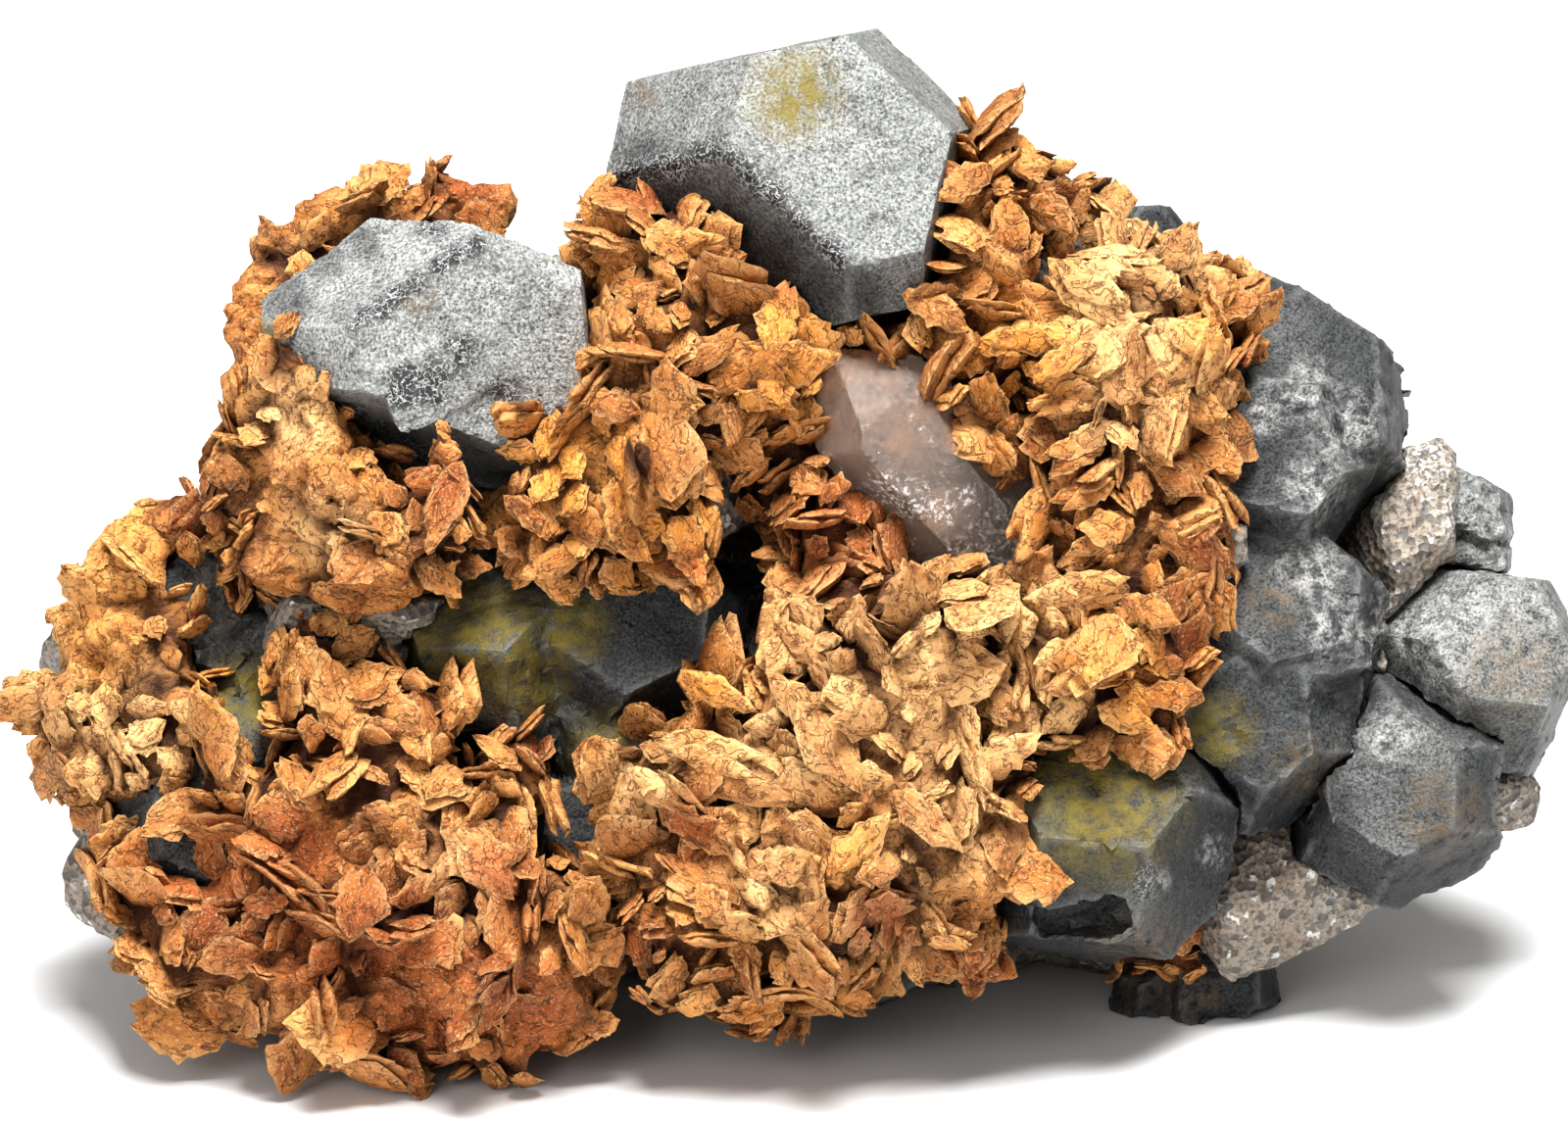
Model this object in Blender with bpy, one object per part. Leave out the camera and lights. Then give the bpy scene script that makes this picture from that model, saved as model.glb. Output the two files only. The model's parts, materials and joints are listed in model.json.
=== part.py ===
"""A galena specimen: galena crystals on a granular matrix, with crusts of bladed siderite and some quartz.

Everything is laid out on the specimen's face, the side that shows its crystals: x to the right, y up
the face and depth toward the viewer, in millimetres. A place is given as it is seen from VIEW_DISTANCE
in front of the face. The face then leans back by FACE_LEAN, and the matrix is cut flat at the ground.
Every shape starts as a few convex solids, each one a list of planes, that grow together into one piece.
"""

import math
import random
from itertools import combinations

import bmesh
import bpy
import numpy as np
from mathutils import Quaternion, Vector

MM = 0.001
VIEW_DISTANCE = 420.0
FACE_LEAN = math.radians(20.0)
GROUND_DROP = 30.4  # from the middle of the face straight down to the ground
GROUND_SIZE = 90.0
GAP = 0.3  # left between neighbouring pieces
FACE_MIDDLE = (-0.00217, -0.00548, 0.0304)  # in metres, so that the specimen stands over the origin
CORE_FACETS = 8
ROCK_FACETS = 10
BLADE_WIDEST = 0.45  # how far along a blade it is widest
BLADE_REACH = 1.2  # how far the small blades stand past their core

# Tolerances, in millimetres where they are lengths
FLAT_ENOUGH = math.radians(0.2)
NEARLY_PARALLEL = 1e-5
ON_THE_PLANE = 1e-6
SAME_CORNER = 2e-3
SAME_POINT = 2e-4
GOLDEN_ANGLE = math.pi * (3.0 - math.sqrt(5.0))

# How the planes of a crystal are told apart: six cube faces and eight octahedron faces
CUBE_FACES = [(1, 0, 0), (-1, 0, 0), (0, 1, 0), (0, -1, 0), (0, 0, 1), (0, 0, -1)]
OCTAHEDRON_FACES = [(a, b, c) for a in (1, -1) for b in (1, -1) for c in (1, -1)]


def clear_scene():
    for thing in list(bpy.data.objects):
        bpy.data.objects.remove(thing, do_unlink=True)


def seen(x, y, depth):
    """The point at this depth that is seen at x, y on the plane of the face."""
    nearer = (VIEW_DISTANCE - depth) / VIEW_DISTANCE
    return np.array([x * nearer, y * nearer, depth])


def unit(vector):
    vector = np.array(vector, float)
    return vector / np.linalg.norm(vector)


class Solid:
    """A convex solid: the space behind all of its planes."""

    def __init__(self, normals, distances):
        self.normals = np.array([unit(normal) for normal in normals])
        self.distances = np.array(distances, float)

    def corners(self):
        """The points where three planes meet and no other plane cuts them off."""
        triples = np.array(list(combinations(range(len(self.normals)), 3)))
        systems = self.normals[triples]
        solvable = np.abs(np.linalg.det(systems)) > NEARLY_PARALLEL
        triples = triples[solvable]
        sides = self.distances[triples][:, :, None]
        points = np.linalg.solve(self.normals[triples], sides)[:, :, 0]
        inside = (points @ self.normals.T <= self.distances + ON_THE_PLANE).all(axis=1)
        kept = []
        for point in points[inside]:
            if all(np.linalg.norm(point - other) > SAME_CORNER for other in kept):
                kept.append(point)
        return np.array(kept)

    def box(self):
        corners = self.corners()
        return corners.min(axis=0), corners.max(axis=0)


def turned(facing, twist):
    """The rotation that points a crystal's front octahedron face along facing, and twists it there."""
    facing = Vector(facing).normalized()
    upright = Vector((1.0, 1.0, 1.0)).normalized().rotation_difference(facing)
    return np.array((Quaternion(facing, math.radians(twist)) @ upright).to_matrix())


def crystal(place, facing, twist, cube, octahedron, moved=None):
    """A galena crystal with the distances of its cube and octahedron faces from its middle."""
    turn = turned(facing, twist)
    normals = []
    distances = []
    middle = seen(*place)
    for faces, usual in ((CUBE_FACES, cube), (OCTAHEDRON_FACES, octahedron)):
        for face in faces:
            normal = turn @ unit(face)
            normals.append(normal)
            distances.append((moved or {}).get(face, usual) + normal @ middle)
    return Solid(normals, distances)


def plate(place, facing, reaches, thickness, twist=0.0):
    """A flat prism for a ledge or a notch: it faces one way, with a side at each reach from its middle."""
    facing = Vector(facing).normalized()
    turn = Quaternion(facing, math.radians(twist)) @ Vector((0.0, 0.0, 1.0)).rotation_difference(facing)
    middle = seen(*place)
    normals = [np.array(facing), -np.array(facing)]
    distances = [thickness / 2 + normals[0] @ middle, thickness / 2 + normals[1] @ middle]
    for k, reach in enumerate(reaches):
        angle = math.tau * k / len(reaches)
        normal = np.array(turn @ Vector((math.cos(angle), math.sin(angle), 0.0)))
        normals.append(normal)
        distances.append(reach + normal @ middle)
    return Solid(normals, distances)


def lump(place, radii, dice, facets):
    """A rounded rocky lump with flat broken facets."""
    middle = seen(*place)
    radii = np.array(radii, float)
    normals = []
    distances = []
    spin = dice.uniform(0.0, math.tau)
    for k in range(facets):
        height = 1.0 - (2.0 * k + 1.0) / facets
        ring = math.sqrt(1.0 - height * height)
        angle = spin + k * GOLDEN_ANGLE + dice.uniform(-0.25, 0.25)
        tilt = height + dice.uniform(-0.12, 0.12)
        normal = unit([ring * math.cos(angle), tilt, ring * math.sin(angle)])
        normals.append(normal)
        reach = np.linalg.norm(radii * normal) * dice.uniform(0.84, 1.0)
        distances.append(reach + normal @ middle)
    return Solid(normals, distances)


def blade(root, tip, width, thickness, roll):
    """A lens-shaped siderite crystal from its root to its sharp tip, widest before its middle."""
    along = tip - root
    length = np.linalg.norm(along)
    along = along / length
    start = np.cross(along, [0.0, 0.0, 1.0] if abs(along[2]) < 0.9 else [0.0, 1.0, 0.0])
    flat = unit(start)
    upward = np.cross(along, flat)
    across = math.cos(roll) * flat + math.sin(roll) * upward
    thick = np.cross(along, across)
    widest = root + along * length * BLADE_WIDEST
    normals = []
    distances = []
    for end, reach in ((along, length * (1.0 - BLADE_WIDEST)), (-along, length * BLADE_WIDEST)):
        for side in (1.0, -1.0):
            for face in (1.0, -1.0):
                normal = end / reach + side * across * 2.0 / width + face * thick * 2.0 / thickness
                scale = np.linalg.norm(normal)
                normals.append(normal)
                distances.append(1.0 / scale + (normal / scale) @ widest)
    return Solid(normals, distances)


def grown(solid, reach):
    """The solid with every plane moved out, and its sharp ends kept close to its own box."""
    low, high = solid.box()
    ways = np.vstack([np.eye(3), -np.eye(3)])
    limits = np.concatenate([high, -low]) + reach * 2.0
    normals = np.vstack([solid.normals, ways])
    return Solid(normals, np.concatenate([solid.distances + reach, limits]))


def ground():
    """The space under the specimen, which cuts it off flat."""
    up = np.array([0.0, math.cos(FACE_LEAN), math.sin(FACE_LEAN)])
    back = np.array([0.0, math.sin(FACE_LEAN), -math.cos(FACE_LEAN)])
    across = np.array([1.0, 0.0, 0.0])
    normals = [up, -up, back, -back, across, -across]
    return Solid(normals, [-GROUND_DROP, GROUND_DROP + GROUND_SIZE] + [GROUND_SIZE] * 4)


def mesh_of(name, solids):
    """One mesh, in millimetres, that holds each solid as a closed shell with flat faces."""
    shape = bmesh.new()
    for solid in solids:
        corners = [shape.verts.new(corner) for corner in solid.corners()]
        hull = bmesh.ops.convex_hull(shape, input=corners)
        unused = [item for item in hull["geom_interior"] if isinstance(item, bmesh.types.BMVert)]
        bmesh.ops.delete(shape, geom=unused, context="VERTS")
    bmesh.ops.dissolve_limit(shape, angle_limit=FLAT_ENOUGH, verts=shape.verts, edges=shape.edges)
    bmesh.ops.recalc_face_normals(shape, faces=shape.faces)
    mesh = bpy.data.meshes.new(name)
    shape.to_mesh(mesh)
    shape.free()
    return mesh


def boolean(body, mesh, operation):
    """Joins or cuts a body with a mesh whose shells may overlap."""
    helper = bpy.data.objects.new("helper", mesh)
    bpy.context.scene.collection.objects.link(helper)
    modifier = body.modifiers.new("Boolean", "BOOLEAN")
    modifier.operation = operation
    modifier.solver = "EXACT"
    modifier.use_self = True
    modifier.object = helper
    bpy.context.view_layer.update()
    result = bpy.data.meshes.new_from_object(body.evaluated_get(bpy.context.evaluated_depsgraph_get()))
    body.modifiers.remove(modifier)
    body.data = result
    bpy.data.objects.remove(helper, do_unlink=True)


def keep_largest_piece(mesh):
    """Keeps the biggest closed part of a mesh, without crumbs and sealed holes, and sets it in metres."""
    shape = bmesh.new()
    shape.from_mesh(mesh)
    bmesh.ops.remove_doubles(shape, verts=shape.verts, dist=SAME_POINT)
    unseen = set(shape.faces)
    pieces = []
    while unseen:
        front = [unseen.pop()]
        piece = list(front)
        while front:
            around = {other for edge in front.pop().edges for other in edge.link_faces} & unseen
            unseen -= around
            piece += around
            front += around
        pieces.append(piece)
    biggest = max(pieces, key=lambda piece: sum(face.calc_area() for face in piece))
    dropped = [face for piece in pieces if piece is not biggest for face in piece]
    bmesh.ops.delete(shape, geom=dropped, context="FACES")
    bmesh.ops.scale(shape, vec=(MM, MM, MM), verts=shape.verts)
    shape.to_mesh(mesh)
    shape.free()


def near(solid, boxes):
    """Whether a solid's own box comes within the gap of any of these boxes."""
    low, high = solid.box()
    for other_low, other_high in boxes:
        if (low < other_high + GAP).all() and (high > other_low - GAP).all():
            return True
    return False


class Specimen:
    """Builds the pieces one after another, each one cut back from those before it."""

    def __init__(self):
        self.frame = bpy.data.objects.new("specimen_face", None)
        bpy.context.scene.collection.objects.link(self.frame)
        self.frame.rotation_euler = (math.pi / 2 - FACE_LEAN, 0.0, 0.0)
        self.frame.location = FACE_MIDDLE
        self.solids = []
        self.ground = ground()

    def add(self, name, solids, material, notches=()):
        body = bpy.data.objects.new(name, mesh_of(name, solids[:1]))
        bpy.context.scene.collection.objects.link(body)
        if len(solids) > 1:
            boolean(body, mesh_of("rest", solids[1:]), "UNION")
        boxes = [solid.box() for solid in solids]
        cutters = [grown(solid, GAP) for solid in self.solids if near(solid, boxes)] + list(notches)
        if any((solid.corners() @ self.ground.normals[0]).min() < -GROUND_DROP for solid in solids):
            cutters.append(self.ground)
        if cutters:
            boolean(body, mesh_of("cutter", cutters), "DIFFERENCE")
        keep_largest_piece(body.data)
        body.data.name = name
        body.data.materials.clear()
        body.data.materials.append(material)
        body.parent = self.frame
        self.solids += solids
        return body


def principled(name, colour, roughness, metallic=0.0, transmission=0.0):
    material = bpy.data.materials.new(name)
    material.use_nodes = True
    shader = material.node_tree.nodes["Principled BSDF"]
    shader.inputs["Base Color"].default_value = (*colour, 1.0)
    shader.inputs["Roughness"].default_value = roughness
    shader.inputs["Metallic"].default_value = metallic
    shader.inputs["Transmission Weight"].default_value = transmission
    material.diffuse_color = (*colour, 1.0)
    return material


def galena_pieces(specimen, frosted, dark):
    """The lead-grey crystals: two large ones, and groups grown into one another."""
    specimen.add(
        "galena_top",
        [
            crystal(
                (1.2, 24.2, 2.0), (0.20, 0.32, 0.93), 178, 11.0, 9.7,
                {
                    (1, 0, 0): 10.8, (0, 1, 0): 12.9, (0, 0, 1): 10.2, (1, 1, -1): 8.9,
                    (1, -1, 1): 9.2, (-1, 1, 1): 10.2, (1, -1, -1): 11.9, (-1, 1, -1): 8.8,
                },
            )
        ],
        frosted,
    )
    specimen.add(
        "galena_left",
        [
            crystal(
                (-22.7, 13.6, 4.0), (0.30, -0.18, 0.94), 92, 11.0, 9.5,
                {
                    (1, 0, 0): 11.6, (1, 1, 1): 9.2, (1, -1, 1): 10.3,
                    (-1, 1, 1): 6.4, (1, -1, -1): 5.8, (-1, 1, -1): 10.1, (0, 0, -1): 7.7,
                },
            ),
            plate((-22.6, 11.6, 12.9), (0.30, -0.18, 0.94), (3.6, 2.6, 3.4, 2.0), 1.0, 25),
        ],
        frosted,
    )
    specimen.add(
        "galena_centre",
        [
            crystal((-17.8, -5.2, 0.0), (-0.22, 0.55, 0.80), 20, 8.6, 7.4),
            crystal((-10.4, -4.4, 0.5), (0.10, 0.22, 0.97), 8, 8.0, 7.0),
            crystal((-11.4, -11.5, 3.0), (0.10, 0.45, 0.89), 40, 4.0, 3.5),
            crystal((-13.4, -18.0, 0.5), (0.15, 0.05, 0.98), 70, 5.2, 5.0),
            crystal((-26.4, -5.8, 0.5), (-0.30, 0.10, 0.95), 30, 4.4, 4.0),
            crystal((-23.4, -2.2, -1.5), (-0.20, 0.30, 0.93), 60, 5.0, 4.6),
        ],
        frosted,
    )
    specimen.add(
        "galena_far_left",
        [
            crystal((-37.2, -2.6, -2.0), (-0.30, 0.10, 0.95), 10, 4.8, 4.4),
            crystal((-33.0, -7.2, 0.5), (0.20, 0.10, 0.97), 50, 4.8, 4.4),
            crystal((-34.0, -12.0, 2.0), (-0.10, 0.60, 0.79), 25, 5.4, 4.8),
            crystal((-36.9, -17.4, 0.5), (0.10, 0.20, 0.97), 80, 6.4, 5.6),
        ],
        frosted,
    )
    specimen.add(
        "galena_low_right",
        [crystal((19.8, -17.4, 2.0), (0.05, 0.50, 0.86), 30, 8.6, 7.8)],
        frosted,
        [plate((19.4, -22.8, 8.0), (0.0, -0.55, 0.83), (3.0, 1.6, 3.0, 1.6), 2.4, 12)],
    )
    specimen.add(
        "galena_low_centre",
        [crystal((5.5, -24.0, -1.5), (0.10, -0.20, 0.97), 15, 5.0, 4.5)],
        dark,
    )
    specimen.add(
        "galena_under_crust",
        [crystal((-2.9, -18.0, 4.0), (0.05, 0.40, 0.91), 50, 4.2, 3.8)],
        frosted,
    )
    specimen.add(
        "galena_right",
        [
            crystal((31.2, 9.4, -4.0), (0.25, 0.30, 0.92), 12, 8.8, 7.9),
            crystal((30.9, 6.6, 0.0), (0.10, 0.10, 0.99), 35, 6.6, 6.2),
            crystal((31.2, -3.6, -1.0), (0.15, 0.30, 0.94), 0, 7.4, 6.4),
            crystal((33.9, -5.6, 0.5), (0.30, 0.20, 0.93), 55, 4.6, 4.6),
            crystal((30.0, -10.4, 0.0), (-0.02, 0.05, 0.99), 20, 6.6, 6.0),
        ],
        frosted,
        [plate((28.4, -10.5, 6.0), (0.0, 0.0, 1.0), (1.3, 0.18, 1.3, 0.18), 1.4, -55)],
    )
    specimen.add(
        "galena_right_low",
        [crystal((39.5, -15.0, -2.5), (-0.08, 0.12, 0.98), 10, 6.8, 6.2)],
        frosted,
    )
    specimen.add(
        "galena_far_right",
        [crystal((44.6, -7.0, -6.5), (0.25, 0.30, 0.92), 40, 7.0, 6.4)],
        frosted,
    )
    specimen.add(
        "galena_right_edge",
        [
            crystal((44.0, 2.8, -9.0), (0.30, 0.20, 0.93), 20, 3.0, 2.9),
            crystal((43.8, -0.6, -9.0), (0.20, 0.30, 0.93), 60, 3.2, 3.1),
        ],
        frosted,
    )
    specimen.add(
        "galena_upper_right",
        [crystal((23.4, 20.4, -3.0), (0.20, 0.40, 0.90), 45, 2.8, 2.6)],
        dark,
    )
    specimen.add(
        "galena_bottom_right",
        [
            crystal((27.6, -27.2, -9.0), (0.10, -0.10, 0.98), 25, 4.4, 3.8),
            crystal((24.2, -28.0, -9.0), (0.20, -0.20, 0.96), 75, 3.4, 3.0),
        ],
        dark,
    )
    specimen.add(
        "galena_back_left",
        [
            crystal((-17.0, 5.0, -20.5), (-0.20, 0.30, -0.93), 15, 6.8, 6.2),
            crystal((-23.5, -3.0, -22.5), (-0.30, 0.0, -0.95), 45, 6.0, 5.4),
        ],
        frosted,
    )
    specimen.add(
        "galena_back_right",
        [
            crystal((19.5, -1.0, -24.5), (0.20, 0.20, -0.95), 30, 6.0, 5.4),
            crystal((26.0, -6.5, -22.5), (0.30, 0.10, -0.95), 70, 5.2, 4.8),
        ],
        frosted,
    )


def quartz_crystal(place, axis, radius, front, back, tip_slope, twist):
    """A six-sided prism along its axis, with a six-faced point at the front end."""
    axis = Vector(axis).normalized()
    turn = Quaternion(axis, math.radians(twist)) @ Vector((0.0, 0.0, 1.0)).rotation_difference(axis)
    middle = seen(*place)
    normals = [-np.array(axis)]
    distances = [back + normals[0] @ middle]
    for k in range(6):
        angle = math.tau * k / 6
        side = np.array(turn @ Vector((math.cos(angle), math.sin(angle), 0.0)))
        normals.append(side)
        distances.append(radius + side @ middle)
        slanted = unit(side * math.cos(tip_slope) + np.array(axis) * math.sin(tip_slope))
        point = middle + np.array(axis) * (front + (0.9 if k % 2 else 0.0))
        normals.append(slanted)
        distances.append(slanted @ point)
    return Solid(normals, distances)


def quartz_pieces(specimen, clear):
    specimen.add(
        "quartz_prism",
        [quartz_crystal((10.1, 5.0, 5.6), (-0.62, 0.70, 0.34), 4.0, 11.8, 10.0, math.radians(38), 10)],
        clear,
    )
    specimen.add(
        "quartz_upper_right",
        [quartz_crystal((17.0, 18.2, 2.4), (0.45, 0.60, 0.66), 2.6, 4.5, 5.0, math.radians(40), 25)],
        clear,
    )


# The matrix: place and radii of the broken lumps that it is made of
MATRIX_LUMPS = [
    ((-19.0, -8.0, -13.0), (24.0, 16.0, 13.0)),
    ((12.0, -7.0, -14.0), (25.0, 18.0, 13.0)),
    ((32.0, -8.5, -11.0), (13.0, 12.0, 9.0)),
    ((-4.0, 7.5, -11.0), (21.0, 8.0, 10.0)),
    ((18.0, 12.0, -10.0), (14.0, 10.0, 9.0)),
    ((-32.0, -14.0, -8.0), (12.0, 13.0, 9.0)),
    ((-2.0, -15.5, -19.0), (30.0, 11.0, 11.0)),
    ((22.0, -18.0, -14.0), (12.0, 8.0, 11.0)),
    ((-25.0, -22.5, 0.0), (13.0, 7.0, 7.0)),
    ((1.5, -16.0, 2.0), (10.5, 8.5, 7.0)),
    ((21.2, 2.0, 2.5), (4.6, 11.0, 6.0)),
    ((16.0, 14.5, -1.0), (8.5, 6.0, 5.5)),
    ((-8.0, 8.0, 2.0), (5.0, 8.5, 5.0)),
    ((7.5, 9.0, 0.0), (7.0, 8.0, 4.5)),
    ((-31.0, 4.5, 1.0), (4.5, 6.0, 6.0)),
    ((-41.6, -8.0, -3.0), (4.4, 8.6, 4.5)),
    ((-42.0, -19.6, -2.5), (3.4, 4.8, 4.0)),
    ((40.0, 1.0, -7.0), (4.0, 6.6, 6.0)),
    ((45.4, -13.2, -8.5), (3.2, 4.2, 5.0)),
    ((32.0, -19.6, -7.0), (8.6, 4.2, 7.0)),
]


def matrix_piece(specimen, rock):
    dice = random.Random(3)
    lumps = [lump(place, radii, dice, ROCK_FACETS) for place, radii in MATRIX_LUMPS]
    specimen.add("matrix_rock", lumps, rock)


def blade_on_core(middle, radius, dice):
    """A small blade that lies across the front of a round core and stands past it."""
    way = unit([dice.uniform(-1, 1), dice.uniform(-1, 1), dice.uniform(0.1, 0.9)])
    sideways = unit(np.cross(way, [dice.uniform(-1, 1), dice.uniform(-1, 1), 0.3]))
    root = middle + way * radius * 0.45 - sideways * radius * 0.8
    tip = middle + way * radius * 0.95 + sideways * (radius * 0.75 + BLADE_REACH)
    return blade(root, tip, radius, radius * 0.5, dice.uniform(0, math.pi))


def crust(lumps, blades, seed):
    """A siderite crust: round cores given as x, y, depth and radius, and blades that stand out of them."""
    dice = random.Random(seed)
    solids = []
    for k, (x, y, depth, radius) in enumerate(lumps):
        solids.append(lump((x, y, depth), (radius, radius, radius * 0.85), dice, CORE_FACETS))
        if k % 3 == 0:
            solids.append(blade_on_core(seen(x, y, depth), radius, dice))
    for (x, y, depth), (tip_x, tip_y, tip_depth), width in blades:
        root = seen(x, y, depth)
        tip = seen(tip_x, tip_y, tip_depth)
        solids.append(blade(root, tip, width, width * 0.45, dice.uniform(-0.5, 0.5)))
    return solids


RIM_LUMPS = [
    (-19.4, 22.6, 0, 1.9), (-22.6, 22.8, 0, 2.2), (-26.0, 22.4, 2, 2.4), (-29.4, 21.2, 2, 2.7),
    (-32.2, 18.6, 3, 2.8), (-33.6, 14.8, 3, 2.7), (-33.2, 11.0, 5, 2.9), (-31.2, 9.4, 9, 3.5),
    (-30.4, 12.4, 11, 2.6), (-29.4, 5.2, 10, 3.6), (-33.0, 4.6, 6, 3.8), (-31.4, 0.8, 7, 4.0),
    (-26.8, 1.2, 10, 3.9), (-23.2, 2.0, 11, 3.0), (-34.6, 0.8, 3, 2.8),
]
RIM_BLADES = [
    ((-23.4, 3.0, 11), (-21.9, 9.3, 13), 2.6),
    ((-22.0, -0.2, 10), (-20.4, -2.4, 11), 2.0),
    ((-19.6, 24.0, 0), (-16.6, 22.4, 0), 1.8),
    ((-21.6, 23.6, 2), (-22.8, 20.8, 4), 1.8),
    ((-26.4, 23.0, 3), (-26.0, 20.6, 5), 1.8),
    ((-22.0, 3.0, 11), (-19.4, 1.4, 12), 2.0),
]

FAR_LEFT_LUMPS = [
    (-41.0, 1.4, 0, 2.7), (-38.6, 2.2, 0, 2.0), (-42.4, -1.6, 1, 3.4), (-44.4, -5.4, 0, 3.2),
    (-40.8, -5.2, 3, 3.2), (-44.4, -9.6, 1, 3.6), (-40.2, -9.4, 4, 3.6), (-44.0, -13.4, 1, 3.4),
    (-40.0, -12.6, 5, 2.8),
]
FAR_LEFT_BLADES = [
    ((-42.0, -5.6, 4), (-37.6, -4.2, 4), 2.0),
    ((-41.0, -9.0, 5), (-36.6, -8.4, 5), 2.0),
    ((-45.6, -9.0, 1), (-49.0, -9.8, 0), 2.2),
    ((-44.6, -2.6, 1), (-48.2, -4.0, 0), 2.2),
]

LOWER_LEFT_LUMPS = [
    (-30.6, -2.6, 7, 2.4), (-30.4, -5.4, 6, 2.6), (-29.6, -9.2, 8, 3.0), (-25.6, -12.4, 9, 3.2),
    (-24.2, -9.8, 9, 2.2), (-35.6, -14.8, 7, 3.0), (-31.4, -16.0, 8, 3.8), (-26.6, -16.6, 9, 3.8),
    (-21.4, -17.0, 9, 3.6), (-18.4, -14.2, 8, 2.6), (-42.0, -17.6, 2, 2.8), (-40.6, -20.6, 3, 3.2),
    (-38.2, -23.4, 5, 3.7), (-35.6, -26.6, 4, 3.7), (-32.9, -21.6, 7, 4.0), (-31.0, -26.8, 6, 4.2),
    (-26.4, -22.0, 9, 4.2), (-26.0, -28.2, 5, 4.4), (-20.6, -20.8, 9, 3.6), (-20.6, -25.6, 8, 4.4),
    (-19.8, -28.8, 4, 4.0), (-15.4, -27.0, 5, 3.8), (-16.0, -21.8, 8, 3.2),
]
LOWER_LEFT_BLADES = [
    ((-13.8, -26.2, 7), (-9.6, -24.0, 8), 2.6),
    ((-16.0, -12.4, 9), (-13.6, -16.6, 9), 2.0),
    ((-14.6, -29.0, 4), (-11.6, -29.6, 4), 2.2),
    ((-20.0, -22.0, 10), (-14.4, -19.6, 10), 2.4),
    ((-38.6, -29.0, 2), (-40.4, -29.4, 2), 2.2),
]

COLUMN_LUMPS = [
    (-11.0, 21.6, 7, 2.4), (-8.6, 19.4, 8, 3.2), (-6.4, 20.6, 9, 1.9), (-11.0, 15.4, 8, 3.2),
    (-7.4, 14.6, 10, 3.4), (-3.4, 14.4, 9, 3.4), (0.4, 14.6, 8, 3.0), (0.4, 11.8, 8, 2.8),
    (2.8, 14.0, 8, 2.2), (-9.6, 9.6, 11, 3.6), (-5.4, 9.6, 10, 3.0), (-12.6, 5.4, 10, 3.9),
    (-8.4, 4.6, 11, 3.5), (-15.0, 1.2, 9, 2.4), (-11.0, 1.8, 9, 3.0), (-0.8, 8.6, 7, 2.6),
    (-0.6, 4.9, 5, 2.2), (2.5, 4.4, 6, 3.0), (4.0, 1.2, 6, 3.4),
]
COLUMN_BLADES = [
    ((-9.0, 20.4, 9), (-4.2, 20.7, 10), 2.2),
    ((-10.4, 21.6, 8), (-12.6, 24.2, 8), 2.0),
    ((-9.6, 23.8, 9), (-7.0, 24.0, 10), 1.6),
    ((-15.0, 2.0, 10), (-19.0, 0.6, 11), 2.2),
    ((-8.0, 2.0, 11), (-5.0, -2.6, 11), 2.4),
    ((-12.6, 7.4, 12), (-17.0, 9.4, 12), 2.2),
    ((-8.4, 6.6, 13), (-4.8, 6.0, 12), 2.2),
    ((-1.4, 5.8, 6), (-2.6, 3.6, 6), 2.0),
    ((-9.4, 11.0, 12), (-5.4, 9.4, 12), 2.2),
]

RIGHT_LUMPS = [
    (10.6, 25.0, 4, 2.6), (13.4, 25.6, 4, 2.7), (11.8, 22.6, 6, 3.1), (16.2, 23.6, 4, 2.8),
    (19.4, 21.8, 2, 2.4), (12.4, 19.4, 7, 3.0), (9.6, 17.0, 7, 3.2), (6.6, 15.6, 7, 2.4),
    (10.6, 14.2, 7, 2.8), (14.8, 14.2, 8, 2.8), (21.0, 16.6, 8, 3.3), (23.6, 16.8, 7, 3.4),
    (27.4, 16.0, 4, 3.0), (19.6, 13.2, 9, 3.8), (24.6, 12.4, 8, 4.0), (27.8, 12.4, 4, 2.8),
    (12.2, 9.8, 8, 2.7), (12.8, 6.8, 8, 2.2), (21.0, 8.2, 9, 4.0), (25.0, 6.6, 7, 3.8),
    (20.4, 3.4, 9, 3.8), (24.4, 1.8, 7, 3.8), (19.2, -0.6, 8, 3.6), (22.6, -2.8, 8, 3.9),
    (18.2, -5.8, 9, 3.8), (22.4, -7.6, 7, 3.7), (17.6, -9.2, 8, 3.2),
]
RIGHT_BLADES = [
    ((18.2, 24.0, 4), (21.6, 21.6, 4), 2.4),
    ((16.6, 26.0, 4), (19.8, 24.6, 4), 1.8),
    ((20.4, 9.2, 10), (16.6, 9.4, 10), 2.0),
    ((19.4, 4.0, 11), (15.6, 4.4, 10), 2.2),
    ((18.6, 0.6, 10), (15.4, 0.2, 10), 2.0),
    ((15.4, 8.0, 8), (17.4, 6.2, 8), 1.8),
    ((25.0, 0.6, 6), (28.2, 0.2, 5), 2.4),
    ((23.6, -4.4, 7), (27.2, -5.2, 6), 2.2),
    ((28.2, 15.0, 4), (31.0, 13.4, 3), 2.2),
    ((21.2, -9.0, 7), (23.2, -11.4, 7), 2.2),
    ((18.0, -9.4, 8), (15.4, -11.2, 8), 2.0),
    ((14.0, 14.6, 10), (18.6, 13.2, 10), 2.2),
]

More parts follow.
